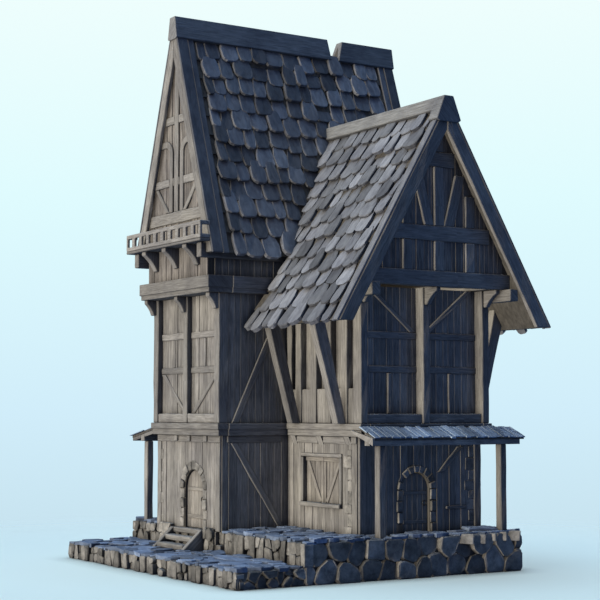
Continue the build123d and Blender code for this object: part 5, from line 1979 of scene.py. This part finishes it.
@dataclass
class Studio:
    """Floor, surround, lights and camera."""

    camera_place: Size = (-23.681, -38.304, 4.45)
    heading: float = 32.25
    pitch: float = 4.22
    lens: float = 91.08
    sensor: float = 36.0
    sight: float = 500.0
    floor_radius: float = 160.0
    floor_sides: int = 96
    floor_colour: Colour = (0.865, 0.925, 0.80)
    floor_roughness: float = 0.9
    floor_specular: float = 0.1
    floor_fade: Span = (8.0, 24.0)
    floor_painted_shade_reach: float = 0.9
    floor_shade_samples: int = 8
    fill_colour: Colour = (0.066, 0.118, 0.256)
    sky_stops: Sequence[tuple[float, Colour]] = (
        (-0.12, (0.539, 0.723, 0.815)),
        (0.0, (0.638, 0.847, 0.956)),
        (0.139, (0.738, 0.965, 0.991)),
        (0.266, (0.855, 0.991, 0.982)),
    )
    lamps: Sequence[Lamp] = (
        Lamp("warm_key", 176.0, 22.0, 0.3, (1.0, 0.92, 0.76), 40.0),
        Lamp("warm_wash", 178.0, 8.0, 4.2, (1.0, 0.92, 0.76), 4.0, shadow=False),
        Lamp("cool_top", 120.0, 80.0, 2.0, (0.50, 0.74, 1.0), 60.0),
        Lamp("cool_back", 48.0, 14.0, 0.9, (0.66, 0.83, 1.0), 30.0, shadow=False),
    )

    def floor_finish(self) -> bpy.types.Material:
        """A pale finish with painted shade, darker near and under the house, and clear far from it.

        Returns:
            The material.
        """
        graph = ShaderGraph("pale_floor")
        # Painted shade: ambient occlusion darkens the floor colour round the foot of the house.
        corner = graph.add(
            "AmbientOcclusion", {"Color": (*self.floor_colour, 1.0), "Distance": self.floor_painted_shade_reach},
            samples=self.floor_shade_samples,
        )
        reach = graph.add("VectorMath", operation="LENGTH")
        graph.feed(reach.inputs[0], graph.object_place())
        near, far = self.floor_fade
        fade = graph.add(
            "MapRange",
            {"Value": reach.outputs["Value"], "From Min": near, "From Max": far, "To Min": 1.0, "To Max": 0.0},
            interpolation_type="SMOOTHSTEP",
        )
        graph.shade(
            Base_Color=corner.outputs["Color"], Roughness=self.floor_roughness,
            Specular_IOR_Level=self.floor_specular, Alpha=fade.outputs["Result"],
        )
        return graph.material

    def floor(self) -> None:
        """A plain pale floor that throws no light back."""
        shape = bmesh.new()
        bmesh.ops.create_circle(shape, cap_ends=True, radius=self.floor_radius, segments=self.floor_sides)
        mesh = bpy.data.meshes.new("studio_floor")
        shape.to_mesh(mesh)
        shape.free()
        mesh.materials.append(self.floor_finish())
        piece = bpy.data.objects.new("studio_floor", mesh)
        piece.visible_diffuse = False
        bpy.context.scene.collection.objects.link(piece)

    def sky(self) -> None:
        """A pale surround that gives a weak cool fill."""
        world = bpy.data.worlds.new("studio_sky")
        bpy.context.scene.world = world
        world.use_nodes = True
        tree = world.node_tree
        place = tree.nodes.new("ShaderNodeTexCoord")
        split = tree.nodes.new("ShaderNodeSeparateXYZ")
        level = tree.nodes.new("ShaderNodeMapRange")
        ramp = tree.nodes.new("ShaderNodeValToRGB")
        seen = tree.nodes.new("ShaderNodeLightPath")
        light = tree.nodes.new("ShaderNodeMix")
        level.inputs["From Min"].default_value = -1.0
        set_stops(ramp, [((height + 1.0) / 2, colour) for height, colour in self.sky_stops])
        light.data_type = "RGBA"
        light.inputs["A"].default_value = (*self.fill_colour, 1.0)
        for source, target in (
            (place.outputs["Generated"], split.inputs["Vector"]),
            (split.outputs["Z"], level.inputs["Value"]),
            (level.outputs["Result"], ramp.inputs["Fac"]),
            (seen.outputs["Is Camera Ray"], light.inputs["Factor"]),
            (ramp.outputs["Color"], light.inputs["B"]),
            (light.outputs["Result"], tree.nodes["Background"].inputs["Color"]),
        ):
            tree.links.new(source, target)

    def camera(self) -> None:
        """The camera at the photograph's place and angle."""
        data = bpy.data.cameras.new("camera")
        data.lens = self.lens
        data.sensor_width = self.sensor
        data.clip_end = self.sight
        camera = bpy.data.objects.new("camera", data)
        camera.location = self.camera_place
        camera.rotation_euler = (math.radians(90.0 + self.pitch), 0.0, math.radians(-self.heading))
        bpy.context.scene.collection.objects.link(camera)
        bpy.context.scene.camera = camera

    def build(self) -> None:
        """Set up the whole studio."""
        self.floor()
        self.sky()
        for lamp in self.lamps:
            lamp.build()
        self.camera()
        bpy.context.scene.view_settings.view_transform = "Standard"


def main() -> None:
    """Build the house and its studio."""
    logging.basicConfig(level=logging.INFO, format="%(message)s")
    House().build()
    Studio().build()


if __name__ == "__main__":
    main()
